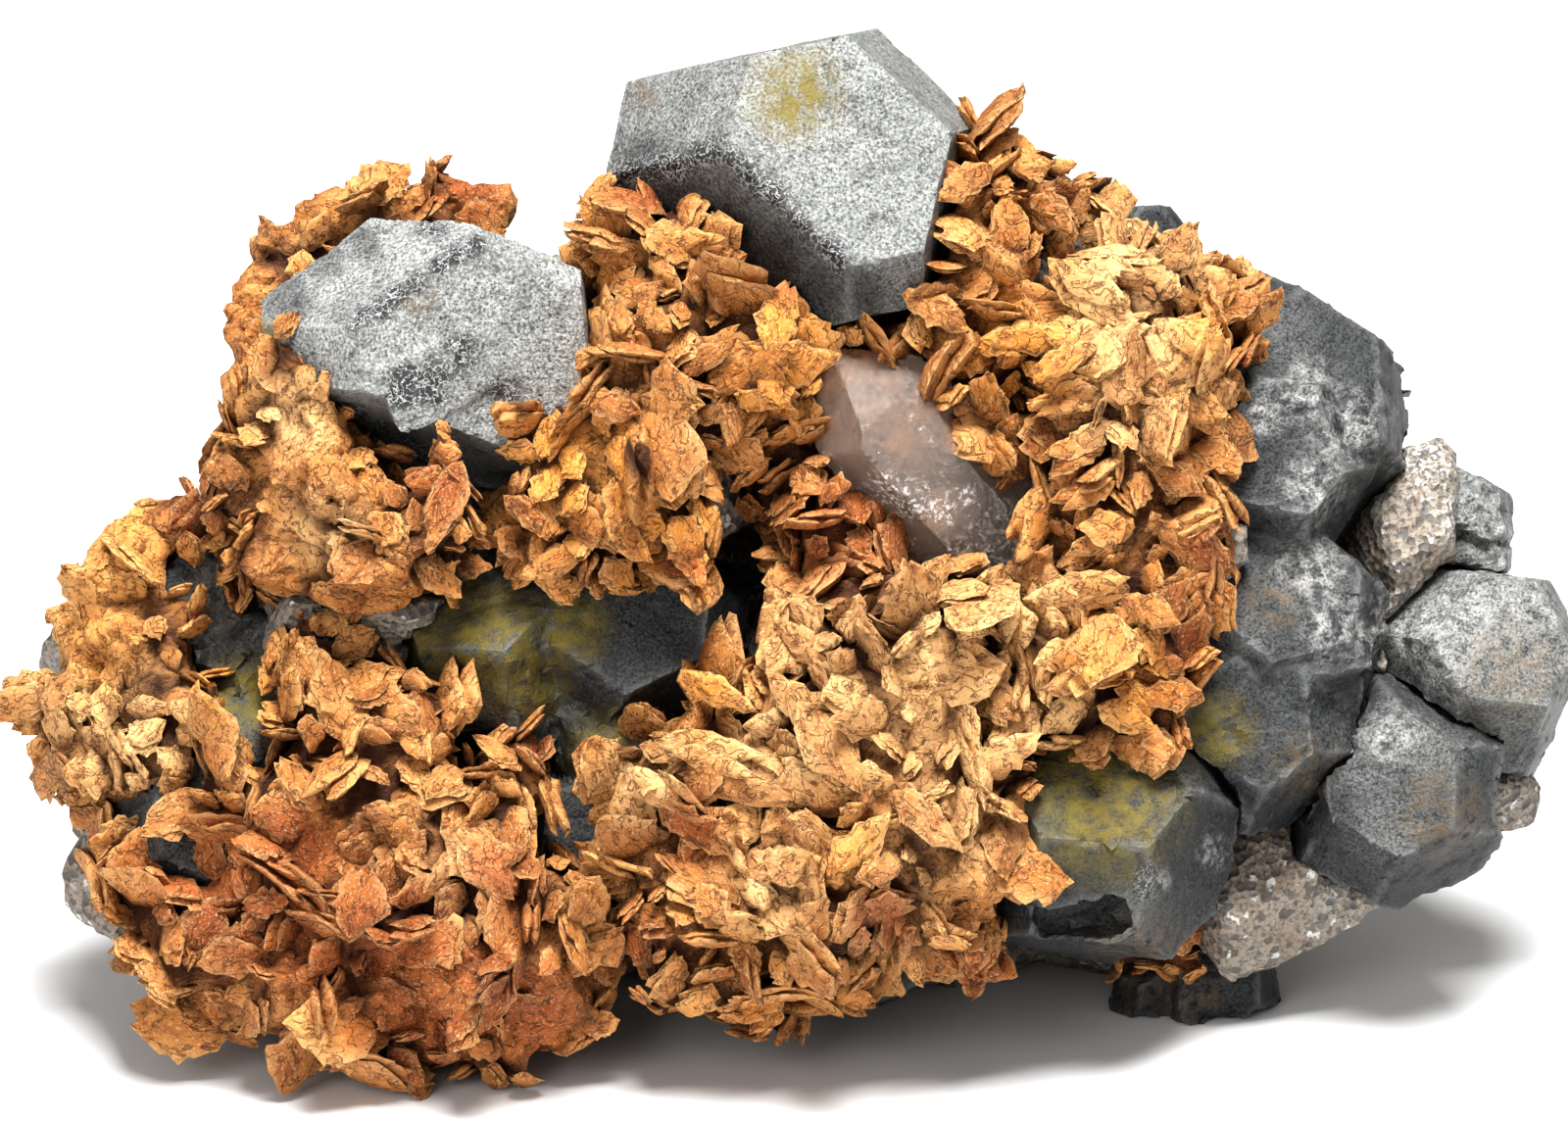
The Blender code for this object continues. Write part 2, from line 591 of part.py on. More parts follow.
LOWER_MIDDLE_LUMPS = [
    (2.0, -4.4, 9, 3.0), (6.2, -3.8, 9, 3.2), (11.0, -3.8, 9, 3.4), (4.4, -7.4, 11, 3.6),
    (8.8, -7.0, 11, 3.6), (13.0, -7.0, 9, 3.4), (6.8, -11.2, 11, 3.8), (2.2, -11.0, 11, 3.4),
    (-2.2, -10.8, 9, 3.2), (-4.6, -14.6, 9, 3.6), (-8.0, -14.0, 8, 2.7), (0.2, -14.6, 10, 2.9),
    (4.8, -15.0, 11, 3.4), (9.2, -15.0, 10, 3.9), (13.2, -14.6, 8, 3.4), (12.0, -18.4, 9, 3.8),
    (6.8, -18.6, 11, 3.7), (3.0, -21.4, 10, 4.2), (-7.4, -19.4, 8, 3.4), (-3.6, -21.0, 9, 3.8),
    (-6.0, -24.2, 6, 4.0), (-1.6, -25.2, 6, 4.0), (-1.4, -28.0, 4, 2.6), (3.6, -25.0, 6, 3.1),
    (8.6, -21.6, 8, 3.6), (11.6, -22.8, 6, 2.8),
]
LOWER_MIDDLE_BLADES = [
    ((-7.4, -13.4, 9), (-12.2, -13.4, 10), 2.6),
    ((-3.6, -9.6, 9), (-6.8, -7.2, 9), 2.0),
    ((11.6, -23.6, 6), (12.4, -28.0, 6), 2.6),
    ((12.6, -19.4, 8), (16.2, -18.0, 8), 2.4),
    ((12.6, -14.0, 9), (16.2, -12.0, 8), 2.4),
    ((-0.6, -28.4, 4), (-1.0, -31.0, 4), 2.0),
    ((-7.6, -21.6, 8), (-10.8, -21.0, 8), 2.2),
    ((9.6, -2.8, 10), (10.8, -0.2, 9), 2.0),
    ((3.0, -3.8, 9), (1.2, -1.4, 8), 2.0),
    ((-4.0, -16.0, 10), (-8.6, -18.0, 9), 2.2),
]

LOWER_RIGHT_LUMPS = [
    (22.4, -24.6, -4, 2.0), (25.2, -24.6, -4, 2.2), (28.2, -22.6, -4, 1.8), (30.0, -23.6, -5, 1.6),
]
LOWER_RIGHT_BLADES = [
    ((26.6, -23.0, -3), (28.6, -20.6, -2), 1.6),
    ((24.0, -24.0, -4), (20.6, -25.0, -4), 1.8),
]

BACK_LEFT_LUMPS = [
    (-36.0, -3.0, -18.5, 4.0), (-38.5, -8.0, -17.0, 4.0), (-36.0, -13.0, -18.5, 4.2),
    (-31.5, -7.5, -22.0, 4.0), (-30.5, -13.0, -22.5, 4.0), (-33.0, -18.0, -19.0, 3.6),
]
BACK_RIGHT_LUMPS = [
    (13.0, 13.0, -18.5, 4.0), (8.0, 9.0, -21.5, 4.2), (2.0, 11.0, -19.5, 4.0), (6.0, 4.0, -24.0, 4.0),
    (17.0, 8.0, -19.5, 4.0),
]


def siderite_pieces(specimen, siderite):
    """The tan crusts of lens-shaped blades, each one a crust that grew in its own place."""
    crusts = [
        ("siderite_left_rim", RIM_LUMPS, RIM_BLADES),
        ("siderite_far_left", FAR_LEFT_LUMPS, FAR_LEFT_BLADES),
        ("siderite_lower_left", LOWER_LEFT_LUMPS, LOWER_LEFT_BLADES),
        ("siderite_column", COLUMN_LUMPS, COLUMN_BLADES),
        ("siderite_right", RIGHT_LUMPS, RIGHT_BLADES),
        ("siderite_lower_middle", LOWER_MIDDLE_LUMPS, LOWER_MIDDLE_BLADES),
        ("siderite_lower_right", LOWER_RIGHT_LUMPS, LOWER_RIGHT_BLADES),
        ("siderite_back_left", BACK_LEFT_LUMPS, []),
        ("siderite_back_right", BACK_RIGHT_LUMPS, []),
    ]
    for seed, (name, lumps, blades) in enumerate(crusts):
        specimen.add(name, crust(lumps, blades, seed + 11), siderite)


def main():
    clear_scene()
    specimen = Specimen()
    frosted = principled("galena_frosted", (0.16, 0.17, 0.17), 0.48, 0.6)
    dark = principled("galena_dark", (0.05, 0.055, 0.06), 0.3, 0.8)
    clear = principled("quartz", (0.72, 0.66, 0.63), 0.12, 0.0, 0.9)
    rock = principled("matrix", (0.32, 0.29, 0.26), 0.75)
    siderite = principled("siderite", (0.55, 0.27, 0.09), 0.72)
    galena_pieces(specimen, frosted, dark)
    quartz_pieces(specimen, clear)
    matrix_piece(specimen, rock)
    siderite_pieces(specimen, siderite)


main()
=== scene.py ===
"""Looks of the galena specimen: frosted crystals, crusts of bladed siderite, granular rock and quartz.

Lengths are in metres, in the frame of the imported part. Places read from the photograph are pixels of its
1600 by 1147 frame, and on_photo tells which pixel a point of the specimen is seen at.
"""

import json
import math
from itertools import product

import bmesh
import bpy
import numpy as np
from mathutils import Matrix, Vector
from mathutils.bvhtree import BVHTree


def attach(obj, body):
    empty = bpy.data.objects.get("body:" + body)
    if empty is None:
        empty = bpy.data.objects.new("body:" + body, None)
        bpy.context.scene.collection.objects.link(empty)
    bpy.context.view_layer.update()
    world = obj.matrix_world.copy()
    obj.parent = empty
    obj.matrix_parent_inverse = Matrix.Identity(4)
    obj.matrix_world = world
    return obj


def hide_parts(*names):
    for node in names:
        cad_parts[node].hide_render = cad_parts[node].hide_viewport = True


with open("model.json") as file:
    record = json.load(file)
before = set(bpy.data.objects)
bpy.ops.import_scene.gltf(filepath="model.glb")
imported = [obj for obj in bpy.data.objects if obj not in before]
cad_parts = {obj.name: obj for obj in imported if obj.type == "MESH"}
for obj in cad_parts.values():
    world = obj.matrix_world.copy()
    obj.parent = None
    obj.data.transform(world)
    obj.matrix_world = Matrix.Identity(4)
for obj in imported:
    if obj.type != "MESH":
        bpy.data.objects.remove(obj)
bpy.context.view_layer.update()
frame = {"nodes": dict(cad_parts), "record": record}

# The photograph's view
MM = 0.001
PHOTO_WIDTH = 1600
PHOTO_HEIGHT = 1147
SENSOR_WIDTH = 36.0
VIEW_DISTANCE = 0.42
PIXEL = 0.1 / 1572  # what one pixel spans on the specimen's face
LENS = SENSOR_WIDTH * VIEW_DISTANCE / (PHOTO_WIDTH * PIXEL)
FACE_LEAN = math.radians(20.0)
FACE_MIDDLE = Vector((-0.00217, -0.00548, 0.0304))
FACE_TURN = Matrix.Rotation(math.pi / 2 - FACE_LEAN, 4, "X")
CAMERA_PLACE = Matrix.Translation(FACE_MIDDLE) @ FACE_TURN @ Matrix.Translation((0.0, 0.0, VIEW_DISTANCE))

# Fineness of the surfaces
CRYSTAL_STEP = 0.45 * MM
CRUST_STEP = 0.5 * MM
ROCK_STEP = 0.8 * MM
QUARTZ_STEP = 0.4 * MM
SAME_POINT = 0.001 * MM
LOWEST = 0.03 * MM  # crystals and blades stay this far above the floor
SHARP_EDGE = math.radians(20.0)
CRYSTAL_CREASE = math.radians(25.0)
CRUST_CREASE = math.radians(36.0)

# Random values along each side of the block that repeats over space
LATTICE = 48


def camera():
    """The camera at the photograph's viewing angle."""
    data = bpy.data.cameras.new("photo_camera")
    data.sensor_width = SENSOR_WIDTH
    data.lens = LENS
    data.clip_start = 0.01
    data.clip_end = 20.0
    eye = bpy.data.objects.new("photo_camera", data)
    eye.matrix_world = CAMERA_PLACE
    bpy.context.scene.collection.objects.link(eye)
    bpy.context.scene.camera = eye


def on_photo(points):
    """The pixels of the photograph at which these points are seen."""
    inverse = np.array(CAMERA_PLACE.inverted())
    local = points @ inverse[:3, :3].T + inverse[:3, 3]
    reach = VIEW_DISTANCE / PIXEL / -local[:, 2]
    return np.column_stack([PHOTO_WIDTH / 2 + local[:, 0] * reach, PHOTO_HEIGHT / 2 - local[:, 1] * reach])


def spots(points, places):
    """How much each point belongs to soft round spots given as pixel x, pixel y and radius in pixels."""
    seen_at = on_photo(points)
    share = np.zeros(len(points))
    for x, y, radius in places:
        distance = np.hypot(seen_at[:, 0] - x, seen_at[:, 1] - y) / radius
        share = np.maximum(share, np.clip(1.5 - distance, 0.0, 1.0))
    return share


# Random fields over space

def noise(points, size, seed):
    """Values from -1 to 1 at these points that change smoothly over this size."""
    values = np.random.RandomState(seed).uniform(-1.0, 1.0, (LATTICE,) * 3)
    places = points / size
    corners = np.floor(places).astype(int)
    inside = places - corners
    inside = inside * inside * (3.0 - 2.0 * inside)
    total = np.zeros(len(points))
    for step in product((0, 1), repeat=3):
        share = np.prod(np.where(np.array(step, bool), inside, 1.0 - inside), axis=1)
        spot = (corners + step) % LATTICE
        total += share * values[spot[:, 0], spot[:, 1], spot[:, 2]]
    return total


def layered(points, size, seed, octaves=4):
    """Noise of this size with finer noise on it."""
    total = np.zeros(len(points))
    for k in range(octaves):
        total += noise(points, size / 2 ** k, seed + k) / 2 ** k
    return total


def grain_joints(points, size, seed):
    """How much farther each point is from the next grain's middle than from its own, in sizes of a grain."""
    middles = np.random.RandomState(seed).uniform(0.0, 1.0, (LATTICE,) * 3 + (3,))
    places = points / size
    corners = np.floor(places).astype(int)
    nearest = np.full(len(points), np.inf)
    second = np.full(len(points), np.inf)
    for step in product((-1, 0, 1), repeat=3):
        cell = corners + step
        distance = np.linalg.norm(places - cell - middles[tuple((cell % LATTICE).T)], axis=1)
        second = np.minimum(second, np.maximum(nearest, distance))
        nearest = np.minimum(nearest, distance)
    return second - nearest


# Meshes

def welded(node):
    """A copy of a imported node's mesh with its vertices joined."""
    shape = bmesh.new()
    shape.from_mesh(frame["nodes"][node].data)
    bmesh.ops.remove_doubles(shape, verts=shape.verts, dist=SAME_POINT)
    mesh = bpy.data.meshes.new(node + "_welded")
    shape.to_mesh(mesh)
    shape.free()
    return mesh


def remeshed(node, step):
    """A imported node's surface cut into small even faces."""
    helper = bpy.data.objects.new("helper", welded(node))
    bpy.context.scene.collection.objects.link(helper)
    modifier = helper.modifiers.new("Remesh", "REMESH")
    modifier.mode = "VOXEL"
    modifier.voxel_size = step
    evaluated = helper.evaluated_get(bpy.context.evaluated_depsgraph_get())
    mesh = bpy.data.meshes.new_from_object(evaluated)
    bpy.data.objects.remove(helper, do_unlink=True)
    return mesh


def points_of(mesh):
    points = np.zeros(len(mesh.vertices) * 3, np.float32)
    mesh.vertices.foreach_get("co", points)
    return points.reshape(-1, 3).astype(float)


def normals_of(mesh):
    normals = np.zeros(len(mesh.vertices) * 3, np.float32)
    mesh.vertex_normals.foreach_get("vector", normals)
    return normals.reshape(-1, 3).astype(float)


def triangles_of(mesh):
    mesh.calc_loop_triangles()
    corners = np.zeros(len(mesh.loop_triangles) * 3, np.int32)
    mesh.loop_triangles.foreach_get("vertices", corners)
    return corners.reshape(-1, 3)


def tree_of(names):
    """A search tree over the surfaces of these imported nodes."""
    points = []
    faces = []
    for name in names:
        mesh = frame["nodes"][name].data
        faces.append(triangles_of(mesh) + sum(len(part) for part in points))
        points.append(points_of(mesh))
    return BVHTree.FromPolygons(np.concatenate(points).tolist(), np.concatenate(faces).tolist())


def edge_places(mesh, points):
    """For each point, the nearest place on a sharp edge of a mesh, and how far it is."""
    shape = bmesh.new()
    shape.from_mesh(mesh)
    ends = []
    for edge in shape.edges:
        if len(edge.link_faces) == 2 and edge.calc_face_angle() > SHARP_EDGE:
            ends.append([edge.verts[0].co[:], edge.verts[1].co[:]])
    shape.free()
    nearest = np.full(len(points), np.inf)
    places = points.copy()
    for start, end in np.array(ends):
        way = end - start
        share = np.clip((points - start) @ way / (way @ way), 0.0, 1.0)
        spot = start + share[:, None] * way
        distance = np.linalg.norm(points - spot, axis=1)
        closer = distance < nearest
        nearest = np.where(closer, distance, nearest)
        places = np.where(closer[:, None], spot, places)
    return places, nearest


def faceted(node, step):
    """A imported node's surface in small even faces that keep its flat faces and sharp edges.

    Gives the mesh, its points and how far each is from a sharp edge.
    """
    mesh = remeshed(node, step)
    tree = tree_of([node])
    points = np.array([tree.find_nearest(point)[0][:] for point in points_of(mesh)])
    places, distance = edge_places(welded(node), points)
    points = np.where(distance[:, None] < 0.5 * step, places, points)
    mesh.vertices.foreach_set("co", points.astype(np.float32).ravel())
    mesh.update()
    return mesh, points, distance


def make_piece(name, node, material, points, faces, values, crease=None):
    """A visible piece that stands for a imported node, from its points, triangles and named values."""
    mesh = bpy.data.meshes.new(name)
    mesh.from_pydata(points, [], faces)
    mesh.update()
    for key, numbers in values.items():
        attribute = mesh.attributes.new(key, "FLOAT", "POINT")
        attribute.data.foreach_set("value", numbers.astype(np.float32))
    mesh.shade_smooth()
    if crease:
        mesh.set_sharp_from_angle(angle=crease)
    mesh.materials.append(material)
    piece = bpy.data.objects.new(name, mesh)
    bpy.context.scene.collection.objects.link(piece)
    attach(piece, "root")
    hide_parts(node)
    return piece


# Node graphs

# Where a colour mix has its factor and its two colours
MIX_FACTOR = 0
MIX_FIRST = 6
MIX_SECOND = 7


def connect(tree, socket, value):
    """Feed a socket from another one, or set its value."""
    if isinstance(value, bpy.types.NodeSocket):
        tree.links.new(value, socket)
    else:
        socket.default_value = value


def add(tree, kind, inputs=None, **settings):
    """A shader node with its settings, and its inputs set or linked."""
    node = tree.nodes.new(kind)
    for name, value in settings.items():
        setattr(node, name, value)
    for name, value in (inputs or {}).items():
        connect(tree, node.inputs[name], value)
    return node


def mixed(tree, factor, first, second, blend="MIX"):
    """The colour between two colours, each a socket or three numbers."""
    node = add(tree, "ShaderNodeMix", data_type="RGBA", blend_type=blend)
    connect(tree, node.inputs[MIX_FACTOR], factor)
    for index, colour in ((MIX_FIRST, first), (MIX_SECOND, second)):
        if isinstance(colour, tuple):
            colour = (*colour, 1.0)
        connect(tree, node.inputs[index], colour)
    return node.outputs[2]


def math_node(tree, operation, first, second=0.0, clamp=False):
    """The result of a sum on one or two values, each a socket or a number."""
    node = add(tree, "ShaderNodeMath", operation=operation, use_clamp=clamp)
    connect(tree, node.inputs[0], first)
    connect(tree, node.inputs[1], second)
    return node.outputs[0]


def times(tree, first, second, clamp=False):
    return math_node(tree, "MULTIPLY", first, second, clamp)


def off_middle(tree, value):
    """How far a noise is from its middle value, which it crosses along winding lines."""
    return math_node(tree, "ABSOLUTE", math_node(tree, "SUBTRACT", value, 0.5))


def ranged(tree, value, low, high, bottom=0.0, top=1.0):
    """A value spread so that low becomes bottom and high becomes top, and held between these."""
    inputs = {"Value": value, "From Min": low, "From Max": high, "To Min": bottom, "To Max": top}
    return add(tree, "ShaderNodeMapRange", inputs).outputs[0]


def named(tree, attribute):
    """The value of this name that a piece's points carry."""
    return add(tree, "ShaderNodeAttribute", attribute_name=attribute).outputs["Fac"]


def noise_map(tree, place, scale, detail, roughness, distortion=0.0):
    inputs = {
        "Vector": place, "Scale": scale, "Detail": detail,
        "Roughness": roughness, "Distortion": distortion,
    }
    return add(tree, "ShaderNodeTexNoise", inputs).outputs[0]


def cloud(tree, per_mm, detail, roughness, distortion=0.0):
    """Noise over the specimen with this many features in a millimetre."""
    place = add(tree, "ShaderNodeTexCoord").outputs["Object"]
    return noise_map(tree, place, per_mm / MM, detail, roughness, distortion)


def flake_noise(tree, per_mm, detail, roughness, distortion):
    """Noise laid along the flakes, with this many features in a millimetre each way."""
    place = add(tree, "ShaderNodeAttribute", attribute_name="grain").outputs["Vector"]
    scaled = add(tree, "ShaderNodeVectorMath", operation="MULTIPLY")
    connect(tree, scaled.inputs[0], place)
    connect(tree, scaled.inputs[1], per_mm)
    return noise_map(tree, scaled.outputs[0], 1.0, detail, roughness, distortion)


def cell_map(tree, per_mm):
    """Cells over the specimen, this many in a millimetre."""
    place = add(tree, "ShaderNodeTexCoord").outputs["Object"]
    return add(tree, "ShaderNodeTexVoronoi", {"Vector": place, "Scale": per_mm / MM}).outputs


def bumped(tree, layers):
    """A normal from several heights, each with its depth in millimetres."""
    normal = None
    for height, depth in layers:
        inputs = {"Height": height, "Distance": depth * MM, "Strength": 1.0}
        if normal:
            inputs["Normal"] = normal
        normal = add(tree, "ShaderNodeBump", inputs).outputs["Normal"]
    return normal


def new_material(name):
    material = bpy.data.materials.new(name)
    material.use_nodes = True
    tree = material.node_tree
    return material, tree, tree.nodes["Principled BSDF"]


def dress(tree, shader, colour, roughness, layers):
    """Give a shader its colour, its roughness and its bumps."""
    connect(tree, shader.inputs["Base Color"], colour)
    connect(tree, shader.inputs["Roughness"], roughness)
    connect(tree, shader.inputs["Normal"], bumped(tree, layers))


# Siderite's looks

ORANGE_BROWN = (0.62, 0.235, 0.045)
TAN = (0.80, 0.40, 0.13)
BUFF = (1.0, 0.64, 0.29)
GOLDEN = (0.86, 0.35, 0.035)
RUSTY = (0.42, 0.09, 0.014)
DULL_TONE = (0.50, 0.38, 0.28)
BRIGHT_TONE = (1.12, 1.12, 1.12)
# Painted shade for the troughs of the folds
FOLD_SHADE_BROWN = (0.26, 0.075, 0.014)
# Painted highlight for the crests of the fine crinkles
CREST_HIGHLIGHT_CREAM = (0.98, 0.74, 0.44)
# Painted highlight for the rims of the plates
RIM_HIGHLIGHT_TAN = (0.95, 0.62, 0.28)
CRACK_BROWN = (0.06, 0.014, 0.003)
# Painted shade for the low places under the blades
RECESS_SHADE_BROWN = (0.055, 0.014, 0.003)


def siderite_colour(tree, folds, fine, crack):
    """Tan to orange-brown, in places buff, golden or rusty, and dark in cracks, with painted shade in the
    troughs of folds and in low places, and painted highlights on crests and rims.
    """
    patches = cloud(tree, 0.30, 4.0, 0.6)
    colour = mixed(tree, ranged(tree, patches, 0.35, 0.65), ORANGE_BROWN, TAN)
    for name, strength, tint in (("pale", 0.8, BUFF), ("gold", 0.62, GOLDEN), ("rust", 0.8, RUSTY)):
        colour = mixed(tree, times(tree, named(tree, name), strength), colour, tint)
    shade = mixed(tree, named(tree, "tone"), DULL_TONE, BRIGHT_TONE)
    colour = mixed(tree, 1.0, colour, shade, "MULTIPLY")
    # Painted shade in the troughs of the folds
    colour = mixed(tree, ranged(tree, folds, 0.50, 0.32), colour, FOLD_SHADE_BROWN)
    # Painted highlight on the crests of the fine crinkles
    colour = mixed(tree, times(tree, ranged(tree, fine, 0.54, 0.72), 0.7), colour, CREST_HIGHLIGHT_CREAM)
    # Painted highlight along the rims of the plates
    rim = ranged(tree, named(tree, "rim"), 0.6, 1.0)
    colour = mixed(tree, times(tree, rim, 0.3), colour, RIM_HIGHLIGHT_TAN)
    colour = mixed(tree, times(tree, crack, 0.65), colour, CRACK_BROWN)
    # Painted shade where the crust lies low under its surface
    recess_shade = ranged(tree, named(tree, "recess_shade"), 0.15, 0.85)
    return mixed(tree, times(tree, recess_shade, 0.96), colour, RECESS_SHADE_BROWN)


def siderite_material():
    """A dull, crinkled and finely cracked crust, with painted shade in its hollows and painted highlights on
    its crests and rims.
    """
    material, tree, shader = new_material("siderite_crust")
    folds = flake_noise(tree, (1.3, 1.5, 1.5), 6.0, 0.68, 0.3)
    fine = flake_noise(tree, (5.0, 5.5, 5.5), 5.0, 0.7, 0.2)
    veins = flake_noise(tree, (0.8, 1.0, 1.0), 3.0, 0.55, 0.6)
    crack = ranged(tree, off_middle(tree, veins), 0.022, 0.004)
    colour = siderite_colour(tree, folds, fine, crack)
    dress(tree, shader, colour, 0.66, [(folds, 0.5), (fine, 0.14), (crack, -0.12)])
    shader.inputs["Specular IOR Level"].default_value = 0.35
    return material


# Galena's looks

DARK_SPECK = (0.22, 0.22, 0.23)
BRIGHT_SPECK = (1.85, 1.85, 1.82)
WORN_EDGE = (0.30, 0.31, 0.30)
WHITE_POWDER = (0.42, 0.415, 0.40)
ETCHED_RIDGE = (0.42, 0.43, 0.42)
ETCHED_PIT = (0.016, 0.016, 0.018)
BROWN_STAIN = (0.12, 0.085, 0.05)
OLIVE_DUST = (0.15, 0.115, 0.02)


def galena_colour(tree, bare, bloom, patches, blotches, grain, pits):
    """A speckled bloom over bare crystal, with worn edges, powder, etched bands, stains and dust on it. The
    bloom's share also carries painted light, more on faces that look up.
    """
    uneven = ranged(tree, patches, 0.3, 0.7, 0.6, 1.2)
    # The bloom's share is partly real bloom and partly painted light, more on faces that look up and to the
    # front
    colour = mixed(tree, times(tree, named(tree, "frost_and_top_light"), uneven, True), bare, bloom)
    thin = mixed(tree, 0.55, colour, bare)
    colour = mixed(tree, ranged(tree, blotches, 0.47, 0.34), colour, thin)
    speckle = mixed(tree, ranged(tree, grain, 0.36, 0.66), DARK_SPECK, BRIGHT_SPECK)
    colour = mixed(tree, 1.0, colour, speckle, "MULTIPLY")
    colour = mixed(tree, times(tree, named(tree, "edge"), 0.30), colour, WORN_EDGE)
    powder = times(tree, named(tree, "powder"), ranged(tree, blotches, 0.44, 0.62), True)
    powder = times(tree, powder, ranged(tree, grain, 0.30, 0.60), True)
    colour = mixed(tree, powder, colour, WHITE_POWDER)
    band = times(tree, named(tree, "etched"), 0.92)
    colour = mixed(tree, band, colour, mixed(tree, pits, ETCHED_RIDGE, ETCHED_PIT))
    stain = times(tree, named(tree, "brown"), ranged(tree, blotches, 0.42, 0.60))
    colour = mixed(tree, times(tree, stain, 0.75), colour, BROWN_STAIN)
    dust = times(tree, named(tree, "olive"), ranged(tree, cloud(tree, 0.9, 5.0, 0.7), 0.34, 0.6))
    return mixed(tree, dust, colour, OLIVE_DUST)


def galena_material(name, bare, bloom, metal):
    """Lead-grey crystal of this bare colour under a frosted bloom of that colour."""
    material, tree, shader = new_material(name)
    patches = cloud(tree, 0.22, 5.0, 0.65, 0.4)
    blotches = cloud(tree, 1.1, 5.0, 0.7)
    grain = cloud(tree, 5.0, 3.0, 0.75)
    pits = ranged(tree, off_middle(tree, cloud(tree, 2.6, 2.0, 0.5)), 0.022, 0.060)
    colour = galena_colour(tree, bare, bloom, patches, blotches, grain, pits)
    sunk = times(tree, named(tree, "etched"), pits)
    roughness = ranged(tree, grain, 0.0, 1.0, 0.30, 0.60)
    dress(tree, shader, colour, roughness, [(patches, 0.2), (blotches, 0.22), (grain, 0.09), (sunk, -0.14)])
    shader.inputs["Metallic"].default_value = metal
    shader.inputs["Specular IOR Level"].default_value = 0.3
    return material


# Looks of quartz and rock

CLEAR_QUARTZ = (0.95, 0.87, 0.80)
BROWN_HAZE = (0.80, 0.44, 0.25)
BROWN_FLECK = (0.30, 0.16, 0.08)
WHITE_FLAW = (0.95, 0.93, 0.92)
PALE_ROCK = (0.33, 0.30, 0.25)
BROWN_ROCK = (0.25, 0.19, 0.14)
WHITE_GRAIN = (0.62, 0.60, 0.56)
DARK_GRAIN = (0.11, 0.09, 0.075)
GREY_GRAIN = (0.13, 0.125, 0.12)
ROCK_JOINT = (0.07, 0.058, 0.048)
ROCK_POWDER = (0.60, 0.60, 0.58)


def quartz_material():
    """Clear quartz, milky and brown where the haze value says so, with a web of white flaws."""
    material, tree, shader = new_material("quartz_clear")
    veils = cloud(tree, 0.7, 5.0, 0.7, 0.8)
    flecks = ranged(tree, cloud(tree, 1.6, 3.0, 0.6), 0.40, 0.32)
    haze = times(tree, named(tree, "haze"), ranged(tree, veils, 0.20, 0.75), True)
    colour = mixed(tree, haze, CLEAR_QUARTZ, BROWN_HAZE)
    colour = mixed(tree, times(tree, flecks, haze), colour, BROWN_FLECK)
    web = ranged(tree, cloud(tree, 3.0, 5.0, 0.75), 0.46, 0.60)
    flaw = times(tree, math_node(tree, "MAXIMUM", named(tree, "white"), 0.30), web, True)
    colour = mixed(tree, flaw, colour, WHITE_FLAW)
    roughness = ranged(tree, veils, 0.4, 0.8, 0.01, 0.08)
    dress(tree, shader, colour, roughness, [(veils, 0.12), (web, 0.02)])
    milky = math_node(tree, "MAXIMUM", times(tree, haze, 0.50), flaw)
    connect(tree, shader.inputs["Transmission Weight"], ranged(tree, milky, 0.0, 1.0, 0.98, 0.35))
    shader.inputs["IOR"].default_value = 1.544
    return material


def rock_material():
    """Granular pale grey-brown rock with small white and dark grains."""
    material, tree, shader = new_material("granular_rock")
    colour = mixed(tree, ranged(tree, cloud(tree, 0.25, 4.0, 0.6), 0.35, 0.65), PALE_ROCK, BROWN_ROCK)
    cells = cell_map(tree, 1.9)
    kinds = add(tree, "ShaderNodeSeparateColor", {"Color": cells["Color"]}).outputs
    colour = mixed(tree, ranged(tree, kinds[0], 0.90, 0.93), colour, WHITE_GRAIN)
    colour = mixed(tree, ranged(tree, kinds[1], 0.22, 0.16), colour, DARK_GRAIN)
    colour = mixed(tree, ranged(tree, kinds[2], 0.90, 0.93), colour, GREY_GRAIN)
    fine = cloud(tree, 3.5, 4.0, 0.7)
    colour = mixed(tree, ranged(tree, fine, 0.52, 0.34), colour, ROCK_JOINT)
    powder = times(tree, named(tree, "powder"), ranged(tree, fine, 0.50, 0.64))
    colour = mixed(tree, powder, colour, ROCK_POWDER)
    roughness = ranged(tree, fine, 0.0, 1.0, 0.3, 0.85)
    dress(tree, shader, colour, roughness, [(cells["Distance"], 0.3), (fine, 0.12)])
    return material


# Siderite

# Where it is pale, golden, rusty, or a broad cork-like slab with few blades
PALE_SPOTS = [
    (300, 420, 40), (330, 540, 40), (470, 900, 50), (1180, 300, 90), (110, 720, 70), (900, 680, 110),
    (1040, 640, 60), (800, 760, 60), (660, 800, 50), (1150, 420, 50), (120, 560, 70), (90, 640, 70),
    (130, 780, 50), (980, 740, 70), (1080, 720, 60), (900, 900, 70), (800, 900, 60), (980, 830, 60),
]
GOLD_SPOTS = [
    (130, 560, 70), (100, 650, 60), (600, 480, 60), (800, 370, 60), (1240, 330, 40), (1030, 350, 60),
    (690, 560, 50), (240, 700, 40), (1180, 700, 50), (870, 870, 40), (720, 700, 40), (1100, 680, 30),
]
RUST_SPOTS = [
    (868, 540, 62), (660, 190, 34), (440, 490, 40), (1235, 565, 22), (1205, 660, 22), (1275, 370, 20),
    (190, 900, 40), (560, 760, 25), (250, 920, 80), (400, 960, 80), (300, 870, 50), (540, 1030, 60),
    (500, 900, 50), (1240, 820, 40), (1010, 1000, 30), (1225, 930, 50), (804, 285, 24), (215, 200, 40),
    (480, 190, 40), (190, 520, 30), (700, 580, 24), (500, 990, 40), (650, 960, 30), (702, 845, 34),
    (900, 930, 40), (330, 960, 60), (420, 1050, 60),
]
